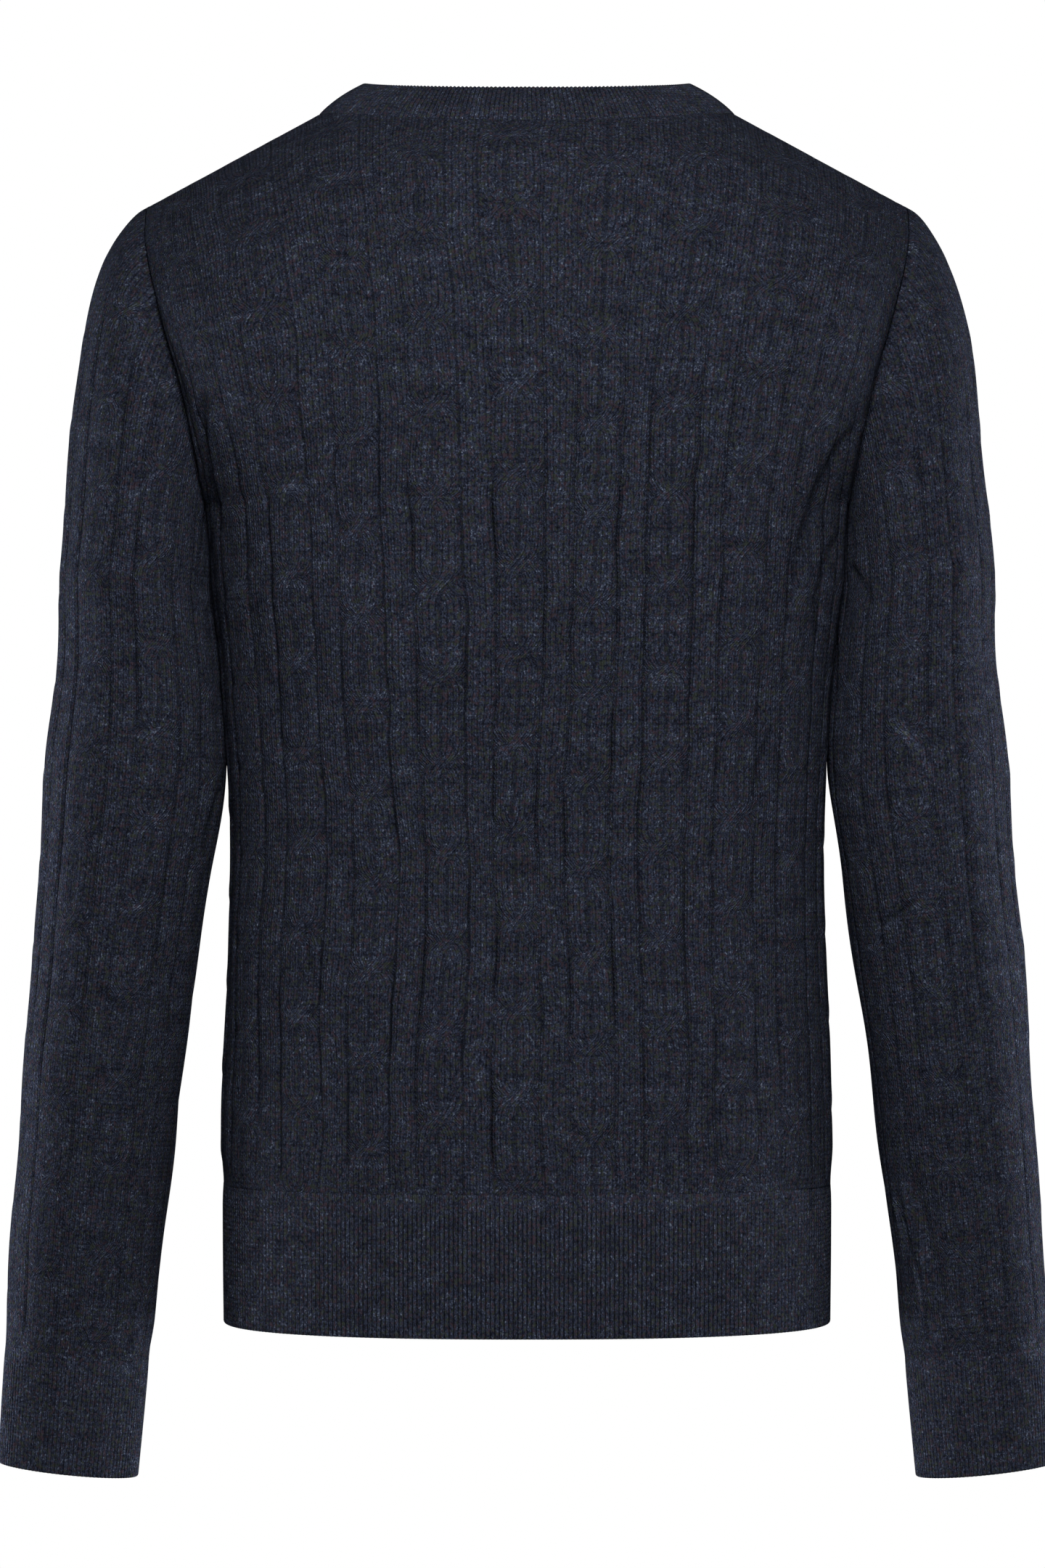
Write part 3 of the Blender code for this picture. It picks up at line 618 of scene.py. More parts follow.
def fine_creases(x, z, table):
    """Depth and painted shade of short sharp creases, each pressed in beside a low ridge. Where
    the depth in the table is negative, the crease is a sharp ridge with a painted highlight."""
    depth = np.zeros(np.broadcast(x, z).shape)
    shade = np.zeros(depth.shape)
    for x0, z0, x1, z1, half, deep in table:
        run = math.hypot(x1 - x0, z1 - z0)
        t = ((x - x0) * (x1 - x0) + (z - z0) * (z1 - z0)) / run ** 2
        bend = CREASE_BEND * run * ((np.clip(t, 0, 1) - 0.5) ** 2 - 1 / 8)
        off = (((x - x0) * (z1 - z0) - (z - z0) * (x1 - x0)) / run + bend) / half
        ends = ease(t / FINE_START) * ease((1 - t) / CREASE_FINISH)
        ridge = RIDGE_HIGH * np.exp(-((off - RIDGE_OFF) / RIDGE_HALF) ** 2)
        depth = depth + deep * (np.exp(-off ** 2) - ridge) * ends
        shade = shade + np.exp(-(off * FINE_NARROW) ** 2) * ends * (FINE_PAINTED_SHADE if deep > 0 else FINE_PAINTED_HIGHLIGHT)
    return depth, shade


ARMHOLE_DROP = 0.2       # length of cloth beside an armhole, for the wander of the columns
WANDER = (
    # reach   length of cloth
    (0.0024, 0.13),
    (0.0006, 0.035),
)
WANDER_SIDE = 0.03       # the wander fades out toward a side seam, and toward a front band
WANDER_BAND = 0.02
BAND_REACH = 0.004       # a front's relief goes on as if its cloth reached this far under the band


def sew_edges(points, normals, rows, front, rib_row):
    """Brings a panel's side edges to the seams, and keeps the relief at its edges from leaning
    out of the seams. rib_row is the row at the seam of panel and rib."""
    upper, lower = rows < 1, rows >= 1
    for column in ([-1] if front else [0, -1]):
        normals[upper, column, 0] *= ease(2 * rows[upper] - 1)
        points[lower, column, 1] = TOUCH if front else -TOUCH
        normals[lower, column, 1] = 0
    if front:
        points[:, 0, 0] -= BAND_LAP
        normals[:, 0, 0] = 0
    normals[rib_row, :, 2] = 0
    return unit(normals)


def body_cloth(name, centres, cut_half, spacing, step, seed, front=False, left=False):
    """One knitted panel of the body, with its relief."""
    low = BAND_HALF if front else -cut_half
    base = cable_columns(centres, low, cut_half, spacing)
    rows = panel_rows(front, step)
    drop = np.where(rows < 1, ARMHOLE_DROP * rows, rows - 1 + ARMHOLE_DROP)[:, None]
    wander = sum(reach * soft_noise(base[None, :], drop, run, seed + turn)
                 for turn, (reach, run) in enumerate(WANDER))
    ends = ease((cut_half - np.abs(base)) / WANDER_SIDE)
    if front:
        ends = ends * ease((base - low) / WANDER_BAND)
    points = panel_points(base + wander * ends, cut_half, rows, front)
    normals = grid_normals(points, outward=-1.0 if front else 1.0)
    shoulder = np.abs(points[0, :, 0]) > NECK_HALF - SEAM
    points[0, shoulder, 1] = TOUCH if front else -TOUCH
    normals[0, shoulder, 1] = 0
    normals = sew_edges(points, normals, rows, front, -1)
    down = run_length(points, 0)
    v = down - down[np.searchsorted(rows, 1.0)]
    u = np.broadcast_to(base, v.shape)
    side_gap = cut_half - np.abs(u)
    if front:
        side_gap = np.minimum(side_gap, u - low + BAND_REACH)
    height, wale, shade = body_relief(u, v, points[..., 2], side_gap, down, centres, seed)
    if not front:
        # painted shade in the back's fine creases
        depth, painted_crease_shading = fine_creases(points[..., 0], points[..., 2], BACK_FINE)
        height = height - depth
        shade = shade + painted_crease_shading
    marks = np.stack([wale, v / COURSE, shade], axis=-1)
    if left:
        points, normals = left_front(points, normals)
    return cloth(name, points, normals, height, marks, wool)


back = body_cloth("back_knit", BACK_CABLES, BACK_CUT_HALF, spacing=0.0019, step=0.0021, seed=11)
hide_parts("back")
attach(back, "root")

# === The fronts =================================================================================
# Two cabled panels of the same wool, sewn to the back at the shoulders and sides, and knitted to
# the bands. The left one dips under the buttonhole band, because the right side laps over it.
TUCK_RUN = 0.020         # width over which the left front dips under the right
LAP = 0.0004             # clearance between the two bands
FRONT_CUT_HALF = 0.200
FRONT_CABLE = 0.034      # the cable nearest to the band
FRONT_COUNT = 5
FRONT_CABLES = [FRONT_CABLE + CABLE_STEP * k for k in range(FRONT_COUNT)]
MIRROR = np.array([-1, 1, 1])


def tuck(x):
    """How deep the left half of the front lies under the right half, at the buttoned middle."""
    return (WALL + LAP) * ease((x + BAND_HALF + TUCK_RUN) / TUCK_RUN)


def left_front(points, normals):
    """A right front's grid, mirrored to the left and tucked under the right one."""
    points, normals = points * MIRROR, normals * MIRROR
    return points - normals * tuck(points[..., 0])[..., None], normals


for side_name, seed in (("right", 23), ("left", 31)):
    piece = body_cloth(f"front_{side_name}_knit", FRONT_CABLES, FRONT_CUT_HALF, spacing=0.0021,
                       step=0.0024, seed=seed, front=True, left=side_name == "left")
    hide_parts(f"front_{side_name}")
    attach(piece, "root")

# === The hem ribs ===============================================================================
# A 1x1 rib of the same wool, knitted on to the lower edge of the back and of each front: narrow
# upright ridges with deep furrows between them. The lower edge is cast off and turns in a little.
HEM_Z = -0.597
RIB_PITCH = 0.0022
RIB_POINTS = 4           # points of the grid to each ridge
RIB_HIGH = 0.0008
RIB_MEAN = 0.45          # share of a ridge that lies under the cloth's middle height
RIB_START = 0.008        # the ribs rise out of the plain cloth over this length
RIB_SHADE = 0.40         # painted shade: how dark the furrows between the ribs are drawn
RIB_ROW = 0.005          # distance between the rows of the grid
EDGE_ROUND = 0.0012      # how far a free edge is rounded
EDGE_START = 0.002       # where the even rows end before it, and the rows of the rounding
EDGE_ROWS = np.array([0.0012, 0.0006, 0.0002, 0.0])

rib_wool = merino("carded_merino_rib", stitch_bump=0.65, wale_shade=0.68, lift=1.22)


def rib_levels(top, bottom, step=RIB_ROW):
    """Distances down a rib: even, and close together at the rounded free edge."""
    body = np.linspace(top, bottom - EDGE_START, int((bottom - top) / step) + 1)
    return np.concatenate([body, bottom - EDGE_ROWS])


def rib_relief(ridges, edge, start):
    """Height of ribs. ridges counts them, edge is the distance from the free edge, which is
    rounded over, and start the distance from where the ribs rise out of the plain cloth."""
    over = np.clip(1 - edge / EDGE_ROUND, 0, 1)
    ridge = RIB_HIGH * (np.abs(np.cos(math.pi * ridges)) - RIB_MEAN) * ease(start / RIB_START)
    return ridge - EDGE_ROUND * (1 - np.sqrt(1 - over ** 2))


def rib_shade(ridges, start):
    """Painted shade: how deep in a furrow each point lies."""
    return RIB_SHADE * (1 - np.abs(np.cos(math.pi * ridges))) * ease(start / RIB_START)


def hem_rib(name, cut_half, front=False, left=False):
    """The ribbed hem of one body panel."""
    low = BAND_HALF if front else -cut_half
    count = int(round((cut_half - low) / RIB_PITCH))
    base = np.linspace(low, cut_half, RIB_POINTS * count + 1)
    drop = rib_levels(UNDERARM_Z - RIB_Z + TOUCH, UNDERARM_Z - HEM_Z)[:, None]
    places = np.broadcast_to(base, (len(drop), len(base)))
    points = panel_points(places, cut_half, 1 + drop[:, 0], front)
    normals = grid_normals(points, outward=-1.0 if front else 1.0)
    normals = sew_edges(points, normals, 1 + drop[:, 0], front, 0)
    ridges = (places - low) / (cut_half - low) * count
    start = drop - drop[0]
    height = rib_relief(ridges, drop[-1] - drop, start)
    marks = np.stack([ridges, run_length(points, 0) / COURSE, rib_shade(ridges, start)], axis=-1)
    if left:
        points, normals = left_front(points, normals)
    return cloth(name, points, normals, height, marks, rib_wool)


ribs = {
    "back_hem_rib": hem_rib("back_hem_rib_knit", BACK_CUT_HALF),
    "front_right_hem_rib": hem_rib("front_right_hem_rib_knit", FRONT_CUT_HALF, front=True),
    "front_left_hem_rib": hem_rib("front_left_hem_rib_knit", FRONT_CUT_HALF, front=True, left=True),
}
for name, piece in ribs.items():
    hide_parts(name)
    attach(piece, "root")

# === The sleeves and cuffs ======================================================================
# Long set-in sleeves of the same wool, each one cabled panel closed by an underarm seam and sewn
# to the armhole, with a ribbed cuff knitted on.
SLEEVE_TOP_Z = -0.230    # lower end of the sleeve's cap
CUFF_SEAM_Z = -0.613
CUFF_Z = -0.672
SLEEVE_LEAN = 6.0        # degrees that a sleeve hangs out from upright
CAP_LEAVE = 0.125        # how strongly the cap's curves leave the armhole, and reach the sleeve
CAP_LAND = 0.200
CAP_UNDER = 0.02         # how far the cap leans out under the arm, and to the front and back
CAP_SPREAD = 0.25
SLEEVE_CUT = 0.270       # width of the sleeve's cut, all round
SLEEVE_CABLE = 0.2099    # the cable on the middle of the sleeve's back, from the underarm seam
SLEEVE_CABLES = range(-5, 2)   # the cables are counted from that one
SLEEVE_SPACING = 0.0022
CAP_ROWS = 84            # rows of the grid in the cap, and in the tube below it
TUBE_ROWS = 168
SEAM_STRIP = 0.0003      # the last sliver of cloth before the underarm seam
SLEEVE_SIDES = (
    # side    mirror  cables moved  seed
    ("right", 1, 0.0, 41),
    ("left", -1, 0.0055, 47),
)
# Sections of the sleeve: its middle and its half width and depth.
SLEEVE = (
    # z       x       y       half_w  half_d
    (-0.230, 0.1936, 0.0000, 0.0371, 0.0500),
    (-0.275, 0.1920, 0.0005, 0.0410, 0.0492),
    (-0.312, 0.1926, 0.0010, 0.0440, 0.0480),
    (-0.374, 0.1993, 0.0020, 0.0423, 0.0450),
    (-0.418, 0.2042, 0.0032, 0.0409, 0.0422),
    (-0.461, 0.2092, 0.0045, 0.0395, 0.0395),
    (-0.504, 0.2133, 0.0060, 0.0384, 0.0368),
    (-0.547, 0.2178, 0.0075, 0.0374, 0.0342),
    (-0.590, 0.2217, 0.0090, 0.0365, 0.0316),
    (-0.613, 0.2238, 0.0098, 0.0358, 0.0298),
    (-0.640, 0.2260, 0.0107, 0.0354, 0.0282),
    (-0.672, 0.2286, 0.0118, 0.0348, 0.0270),
)

# Creases of the sleeves: the side, the two ends as turn and height, the half width in metres and
# the depth, which is negative for a ridge.
SLEEVE_CREASES = (
    # side    turn0  z0      turn1  z1      half    depth
    ("right", 0.400, -0.520, 0.345, -0.600, 0.0030, -0.0030),
    ("right", 0.370, -0.515, 0.325, -0.592, 0.0045, 0.0026),
    ("right", 0.180, -0.405, 0.330, -0.412, 0.0050, 0.0012),
    ("right", 0.440, -0.285, 0.300, -0.330, 0.0070, 0.0016),
    ("left", 0.410, -0.600, 0.360, -0.625, 0.0030, -0.0016),
    ("left", 0.440, -0.290, 0.330, -0.340, 0.0080, 0.0016),
    ("left", 0.300, -0.410, 0.430, -0.440, 0.0060, 0.0014),
    ("right", 0.640, -0.330, 0.760, -0.372, 0.0070, 0.0020),
    ("left", 0.650, -0.340, 0.740, -0.365, 0.0070, 0.0018),
)
CREASE_END = 0.3         # share of a sleeve's crease over which it starts, and over which it ends

# Sharp small creases of the sleeves, by the distance round from the outer side, and the height.
# Each has painted shade, or a painted highlight on a ridge where its depth is negative.
SLEEVE_FINE = (
    # side    around0 z0      around1 z1      half    depth
    ("right", 0.116, -0.221, 0.092, -0.250, 0.0022, 0.0012),
    ("right", 0.128, -0.256, 0.122, -0.300, 0.0026, 0.0014),
    ("right", 0.080, -0.300, 0.060, -0.335, 0.0022, -0.0009),
    ("right", 0.075, -0.385, 0.108, -0.402, 0.0020, 0.0008),
    ("right", 0.1156, -0.534, 0.1119, -0.568, 0.0021, -0.0018),
    ("right", 0.1040, -0.566, 0.1022, -0.600, 0.0021, -0.0018),
    ("left", 0.118, -0.190, 0.108, -0.250, 0.0022, 0.0008),
    ("left", 0.122, -0.330, 0.112, -0.372, 0.0024, 0.0012),
    ("left", 0.060, -0.428, 0.086, -0.446, 0.0022, 0.0008),
    ("left", 0.112, -0.598, 0.104, -0.622, 0.0018, -0.0010),
)


def sleeve_ring(z, turns):
    """A section of the sleeve's tube: turns run from 0 at its outer side, round the back."""
    x_mid, y_mid, half_w, half_d = (along(SLEEVE, column, z) for column in (1, 2, 3, 4))
    lean = math.radians(SLEEVE_LEAN)
    across = half_w * np.cos(2 * math.pi * turns)
    y = y_mid - half_d * np.sin(2 * math.pi * turns)
    return np.stack([x_mid + across * math.cos(lean), y, z + across * math.sin(lean)], axis=-1)


def sleeve_cap(t, turns):
    """A ring of the sleeve between the armhole (t = 0) and the straight tube (t = 1)."""
    front = turns > 0.5
    half_turn = np.where(front, 2 - 2 * turns, 2 * turns)
    x, y_back, z = armhole(half_turn, False)
    y_front = armhole(half_turn, True)[1]
    start = np.stack([x + SEAM, np.where(front, y_front, y_back), z], axis=-1)
    end = sleeve_ring(np.full(turns.shape, SLEEVE_TOP_Z), turns)
    upper = ((1 + np.cos(2 * math.pi * turns)) / 2)[:, None]
    shoulder = math.atan2(NECK_Z - SHOULDER_Z, SHOULDER_HALF - NECK_HALF)
    leave = np.array([math.cos(shoulder), 0, -math.sin(shoulder)]) * upper
    leave = leave + np.array([CAP_UNDER, 0, -1.0]) * (1 - upper)
    leave[:, 1] = -CAP_SPREAD * np.sin(2 * math.pi * turns)
    lean = math.radians(SLEEVE_LEAN)
    land = np.array([math.sin(lean), 0, -math.cos(lean)])
    length = np.linalg.norm(end - start, axis=1, keepdims=True)
    longest = length.max()
    leave = unit(leave) * length * (CAP_LEAVE / longest)
    land = land * length * (CAP_LAND / longest)
    return (start * (1 + 2 * t) * (1 - t) ** 2 + end * t * t * (3 - 2 * t)
            + leave * t * (1 - t) ** 2 - land * t * t * (1 - t))


def sleeve_creases(turns, z, side):
    """Depth of one sleeve's creases at each point."""
    depth = np.zeros(z.shape)
    for name, turn0, z0, turn1, z1, half, deep in SLEEVE_CREASES:
        if name != side:
            continue
        run_x, run_z = (turn1 - turn0) * SLEEVE_CUT, z1 - z0
        run = math.hypot(run_x, run_z)
        off_x, off_z = (turns - turn0) * SLEEVE_CUT, z - z0
        t = (off_x * run_x + off_z * run_z) / run ** 2
        off = (off_x * run_z - off_z * run_x) / run
        depth += deep * np.exp(-(off / half) ** 2) * ease(t / CREASE_END) * ease((1 - t) / CREASE_END)
    return depth


SLEEVE_RELIEF = 0.80     # the sleeve's cables stand less proud than the body's,
ARMHOLE_FADE = 0.05      # and fade out toward its seams and its cuff
UNDERARM_FADE = 0.012
CUFF_FADE = 0.020
CAP_RELIEF = 0.35        # they are flatter on the cap, above this height
CAP_Z = -0.06
CAP_FADE = 0.10
LOW_RELIEF = 0.45        # and flatter on the lower arm, below this height
LOW_Z = -0.38
LOW_FADE = 0.12
ARM_SEAM_DEEP = 0.0003   # the dips at the armhole seam and at the underarm seam, with painted shade at the armhole seam
ARM_SEAM_HALF = 0.0030
ARM_SEAM_SHADE = 0.30
UNDER_SEAM_DEEP = 0.0005
UNDER_SEAM_HALF = 0.0018
BESIDE_Z = -0.345        # above this height the sleeve's inner side lies smooth beside the body
BESIDE_FADE = 0.04
BESIDE_HALF = 0.012
BESIDE_MORE = 0.035
ARM_UNEVEN = 0.0010      # the sleeve's slow unevenness: height and width
ARM_UNEVEN_WIDE = 0.08
FILL_Z = -0.318          # above this height the inner side swells toward the body, to close
FILL_FADE = 0.012        # the gap there
FILL_HALF = 0.010
FILL_MOST = 0.0012


def sleeve_relief(points, turns, u, down, centres, side_name, seed):
    """Height, wale and painted shade of a sleeve's cloth."""
    z = points[..., 2]
    v = down - down[CAP_ROWS - 1]
    underarm = np.minimum(u, SLEEVE_CUT - u)
    cuff_gap = down[-1:] - down
    high = SLEEVE_RELIEF * ease(down / ARMHOLE_FADE) * ease(underarm / UNDERARM_FADE)
    high = high * ease(cuff_gap / CUFF_FADE)
    high = high * (CAP_RELIEF + (1 - CAP_RELIEF) * ease((CAP_Z - z) / CAP_FADE))
    high = high * (1 - (1 - LOW_RELIEF) * ease((LOW_Z - z) / LOW_FADE))
    height, wale, shade = cable_relief(u, v, centres, high, seed)
    seam = np.exp(-(down / ARM_SEAM_HALF) ** 2)
    beside = ease((z - BESIDE_Z) / BESIDE_FADE) * (1 - ease((underarm - BESIDE_HALF) / BESIDE_MORE))
    under = UNDER_SEAM_DEEP * np.exp(-(underarm / UNDER_SEAM_HALF) ** 2)
    uneven = ARM_UNEVEN * soft_noise(u, v, ARM_UNEVEN_WIDE, seed)
    uneven = uneven * ease(down / UNEVEN_FADE) * ease(cuff_gap / UNEVEN_FADE)
    height = height - ARM_SEAM_DEEP * seam + (uneven - under) * (1 - beside)
    gap = points[:, :, 0].min(axis=1, keepdims=True) - along(SIDE, 1, z)
    fill = np.exp(-(underarm / FILL_HALF) ** 2) * ease(down / UNEVEN_FADE) * ease((z - FILL_Z) / FILL_FADE)
    height = height + np.clip(gap - SEAM, 0, FILL_MOST) * fill
    height = height - sleeve_creases(turns, z, side_name)
    fine = [row[1:] for row in SLEEVE_FINE if row[0] == side_name]
    # painted shade in the sleeve's fine creases, and painted highlight on its pale ridges
    depth, painted_crease_shading = fine_creases(turns * SLEEVE_CUT, z, fine)
    # painted shade at the armhole seam
    return height - depth, wale, shade + painted_crease_shading + ARM_SEAM_SHADE * seam


CUFF_PITCH = 0.0020
CUFF_RADIUS = 0.032      # mean radius of a cuff, which gives its number of ribs
CUFF_FLAT = 0.7          # the cuffs are stretched, so their ribs stand less proud than the hem's
CUFF_SHADE = 0.09        # the cuffs' cloth is drawn this much darker all over


def cuff_cloth(name, mirror):
    """The ribbed cuff of one sleeve."""
    drop = rib_levels(TOUCH - CUFF_SEAM_Z, -CUFF_Z)[:, None]
    count = int(round(2 * math.pi * CUFF_RADIUS / CUFF_PITCH))
    turns = np.arange(RIB_POINTS * count) / (RIB_POINTS * count)
    points = np.array([sleeve_ring(-level, turns + 0.5) for level in drop[:, 0]])
    normals = grid_normals(points, ring=True, outward=-1.0)
    ridges = np.broadcast_to(turns * count, points.shape[:2])
    height = rib_relief(ridges, drop[-1] - drop, drop - drop[0]) * CUFF_FLAT
    shade = CUFF_SHADE + rib_shade(ridges, drop - drop[0]) * CUFF_FLAT
    marks = np.stack([ridges, run_length(points, 0) / COURSE, shade], axis=-1)
    return cloth(name, points * mirror, normals * mirror, height, marks, rib_wool, ring=True)


sleeves, cuffs = {}, {}
for side_name, flip, shift, seed in SLEEVE_SIDES:
    mirror = np.array([flip, 1, 1])
    centres = [SLEEVE_CABLE + shift + CABLE_STEP * k for k in SLEEVE_CABLES]
    base = cable_columns(centres, 0.0, SLEEVE_CUT - SEAM_STRIP, SLEEVE_SPACING)
    turns = (base / SLEEVE_CUT + 0.5) % 1.0
    heights = np.linspace(SLEEVE_TOP_Z, CUFF_SEAM_Z + TOUCH, TUBE_ROWS)[1:]
    points = np.array([sleeve_cap(t, turns) for t in np.linspace(0, 1, CAP_ROWS)]
                      + [sleeve_ring(z, turns) for z in heights])
    normals = grid_normals(points, ring=True, outward=-1.0)
    normals[0, :, 0] *= ease(1 - 2 * np.abs(2 * turns - 1))
    normals = unit(normals)
    down = run_length(points, 0)
    u = np.broadcast_to(base, down.shape)
    height, wale, shade = sleeve_relief(points, turns, u, down, centres, side_name, seed)
    marks = np.stack([wale, (down - down[CAP_ROWS - 1]) / COURSE, shade], axis=-1)
    piece = cloth(f"sleeve_{side_name}_knit", points * mirror, normals * mirror, height, marks, wool,
                  ring=True)
    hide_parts(f"sleeve_{side_name}")
    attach(piece, "root")
    sleeves[side_name] = piece

    cuff = cuff_cloth(f"cuff_{side_name}_knit", mirror)
    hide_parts(f"cuff_{side_name}")
    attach(cuff, "root")
    cuffs[side_name] = cuff

# === The front bands and the neckband ===========================================================
# Ribbed strips of the same wool, knitted on to the front edges and to the neck, with ribs square
# to the edge. The buttonhole band lies on the button band.
BAND_PITCH = 0.0024
BAND_COLUMNS = 15
BAND_FLAT = 0.85         # the bands' ribs are a little flatter than the hem's,
UNDER_FLAT = 0.3         # and the button band is pressed flat under the other
UNDER_PRESS = 0.0004
RISEN = 1.0              # a start this far off: the ribs have their full height all along

band_across = np.linspace(-BAND_HALF + TOUCH, BAND_HALF - TOUCH, BAND_COLUMNS)
band_step = BAND_PITCH / RIB_POINTS
band_rows = np.concatenate([even_rows(True, 0.0, 1.0, band_step),
                            1 + np.arange(0, UNDERARM_Z - HEM_Z, band_step)[1:],
                            [1 + UNDERARM_Z - HEM_Z]])
band_face = body_point(0.0, band_rows[:, None], True, np.abs(band_across)[None, :])
band_face[..., 0] = band_across
band_slant = unit(grid_normals(band_face, outward=-1.0) * np.array([0, 1, 1]))
band_down = run_length(band_face, 0)
band_edge = np.minimum(BAND_HALF - np.abs(band_across), band_down[-1:] - band_down)
band_height = rib_relief(band_down / BAND_PITCH, band_edge, RISEN) * BAND_FLAT
band_marks = np.stack([band_down / BAND_PITCH, np.broadcast_to(band_across, band_down.shape) / COURSE,
                       rib_shade(band_down / BAND_PITCH, RISEN)], axis=-1)
bands = {
    "buttonhole_band": cloth("buttonhole_band_knit", band_face, band_slant, band_height, band_marks,
                             rib_wool),
    "button_band": cloth("button_band_knit", band_face - band_slant * (WALL + LAP), band_slant,
                         band_height * UNDER_FLAT - UNDER_PRESS, band_marks, rib_wool),
}
for name, piece in bands.items():
    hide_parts(name)
    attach(piece, "root")

NECKBAND_WIDTH = 0.0275
NECK_SEAM = 0.0001       # gap to the body's neck edge
NECKBAND_CROWN = 0.0012  # how far the band bows out across its width
NECKBAND_LIFT = 5        # how far it leans out, in degrees
NECKBAND_ROW = 0.003
NECKBAND_START = 0.003   # its ribs are part risen where they leave the seam
NECK_SAMPLES = 220       # points along a quarter of the neck seam
THROAT_SAMPLES = 40
NECK_ROWS = np.array([0.0, 0.02])    # two rows of the body, which give its slope at the seam
NECK_SMOOTH = 20
LOWER_SHARE = 0.35       # the lower end of the neckband lies within this share of its length


def neck_edge():
    """Points along the neck seam and the way the cloth faces there, from the lower, left end of
    the neckband across the throat, round the left side, the nape and the right side."""
    angle = np.linspace(math.asin(BAND_HALF / NECK_HALF), math.pi / 2, NECK_SAMPLES)
    share = (NECK_HALF * np.sin(angle) - BAND_HALF) / (SHOULDER_HALF - BAND_HALF)
    side = body_point(share[None, :], NECK_ROWS[:, None], True, BAND_HALF)
    side_facing = grid_normals(side, outward=-1.0)[0, 1:-1]
    side = side[0, 1:-1]
    back_x = NECK_HALF * np.sin(np.linspace(-math.pi / 2, math.pi / 2, 2 * NECK_SAMPLES + 1))
    nape = body_point((back_x / SHOULDER_HALF)[None, :], NECK_ROWS[:, None], False)
    nape_facing = grid_normals(nape)[0, 1:-1]
    middle = np.linspace(BAND_HALF - SEAM / 2, -BAND_HALF + SEAM / 2, THROAT_SAMPLES)
    throat = body_point(0.0, NECK_ROWS[:, None], True, np.abs(middle)[None, :])
    throat[..., 0] = middle
    throat_facing = grid_normals(throat)[0]
    return (np.concatenate([throat[0], side * MIRROR, nape[0, 1:-1], side[::-1], throat[0]]),
            np.concatenate([throat_facing, side_facing * MIRROR, nape_facing, side_facing[::-1],
                            throat_facing]))


def smoothed(facing):
    """Directions along the neck seam, evened out over their neighbours."""
    kernel = np.hanning(2 * NECK_SMOOTH + 1)
    kernel /= kernel.sum()
    facing = np.pad(facing, ((NECK_SMOOTH, NECK_SMOOTH), (0, 0)), mode="edge")
    return unit(np.stack([np.convolve(facing[:, axis], kernel, "valid") for axis in range(3)], axis=-1))


base, facing = neck_edge()
length = run_length(base[:, None], 0)[:, 0]
count = int(round(length[-1] / BAND_PITCH)) * RIB_POINTS + 1
even = np.linspace(0, length[-1], count)
base = np.stack([np.interp(even, length, base[:, axis]) for axis in range(3)], axis=-1)
facing = smoothed(np.stack([np.interp(even, length, facing[:, axis]) for axis in range(3)], axis=-1))
climb = unit(np.cross(facing, unit(np.gradient(base, axis=0))))
lift = math.radians(NECKBAND_LIFT)
climb = smoothed(climb * math.cos(lift) + facing * math.sin(lift))
widths = rib_levels(NECK_SEAM, NECKBAND_WIDTH, NECKBAND_ROW)[:, None]
neckband = base[None] + climb[None] * widths[..., None]
slants = grid_normals(neckband, outward=-1.0)
lower = (np.arange(count) < LOWER_SHARE * count) & (base[:, 1] > 0)
crown = NECKBAND_CROWN * np.sin(math.pi * widths / NECKBAND_WIDTH)
neckband = neckband + slants * (crown - np.where(lower, tuck(base[:, 0]), 0))[..., None]
ridges = np.broadcast_to(even / BAND_PITCH, neckband.shape[:2])
start = widths + NECKBAND_START
marks = np.stack([ridges, np.broadcast_to(widths, ridges.shape) / COURSE, rib_shade(ridges, start)],
                 axis=-1)
neck = cloth("neckband_knit", neckband, slants, rib_relief(ridges, NECKBAND_WIDTH - widths, start),
             marks, rib_wool)
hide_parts("neckband")
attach(neck, "root")

# === The buttons ================================================================================
# Seven turned polyester buttons with four holes, dyed to match, each sewn on with two rows of navy
# thread. Behind each one is its buttonhole, edged with the same thread.
BUTTONS = 7
BUTTON_DARK = "#0b0e1a"
BUTTON_PALE = "#1a2036"
CLOUD_PITCH = 260.0      # clouds in the polyester, about 4 mm across
CLOUD_START = 0.35
CLOUD_END = 0.72
SCUFF_PITCH = 900.0      # patches of finer and duller polish, about 1 mm across
SCUFF_RANGE = (0.3, 0.7)
POLISH = (0.42, 0.54)    # roughness of the fine and of the dull patches
THREAD = "#3c4564"
PLY_PITCH = 480.0        # the twist of the thread, drawn coarser than the real one
BUTTON_GAP = 0.0004      # clearance between a button and the band
HOLE_OUT = 0.00148       # each sewing hole from the middle, across and up
THREAD_HALF = 0.00040    # half thickness of the three sewing threads lying together
THREAD_PATH = (
    # up the button, in hole distances, and out from its back: from one hole to the middle
    (-1.00, -0.00030),
    (-1.00, 0.00126),
    (-0.92, 0.00208),
    (-0.50, 0.00243),
    (0.00, 0.00250),
)
HOLE_LONG = 0.0094       # half length and half width of a buttonhole's stitching
HOLE_WIDE = 0.0011
HOLE_SQUARE = 0.5        # less than 1 makes its long sides straighter than an ellipse's
HOLE_BEAD = 0.00034
HOLE_POINTS = 48
HOLE_RISE = 0.00002      # the stitching's middle line lies this far over the band

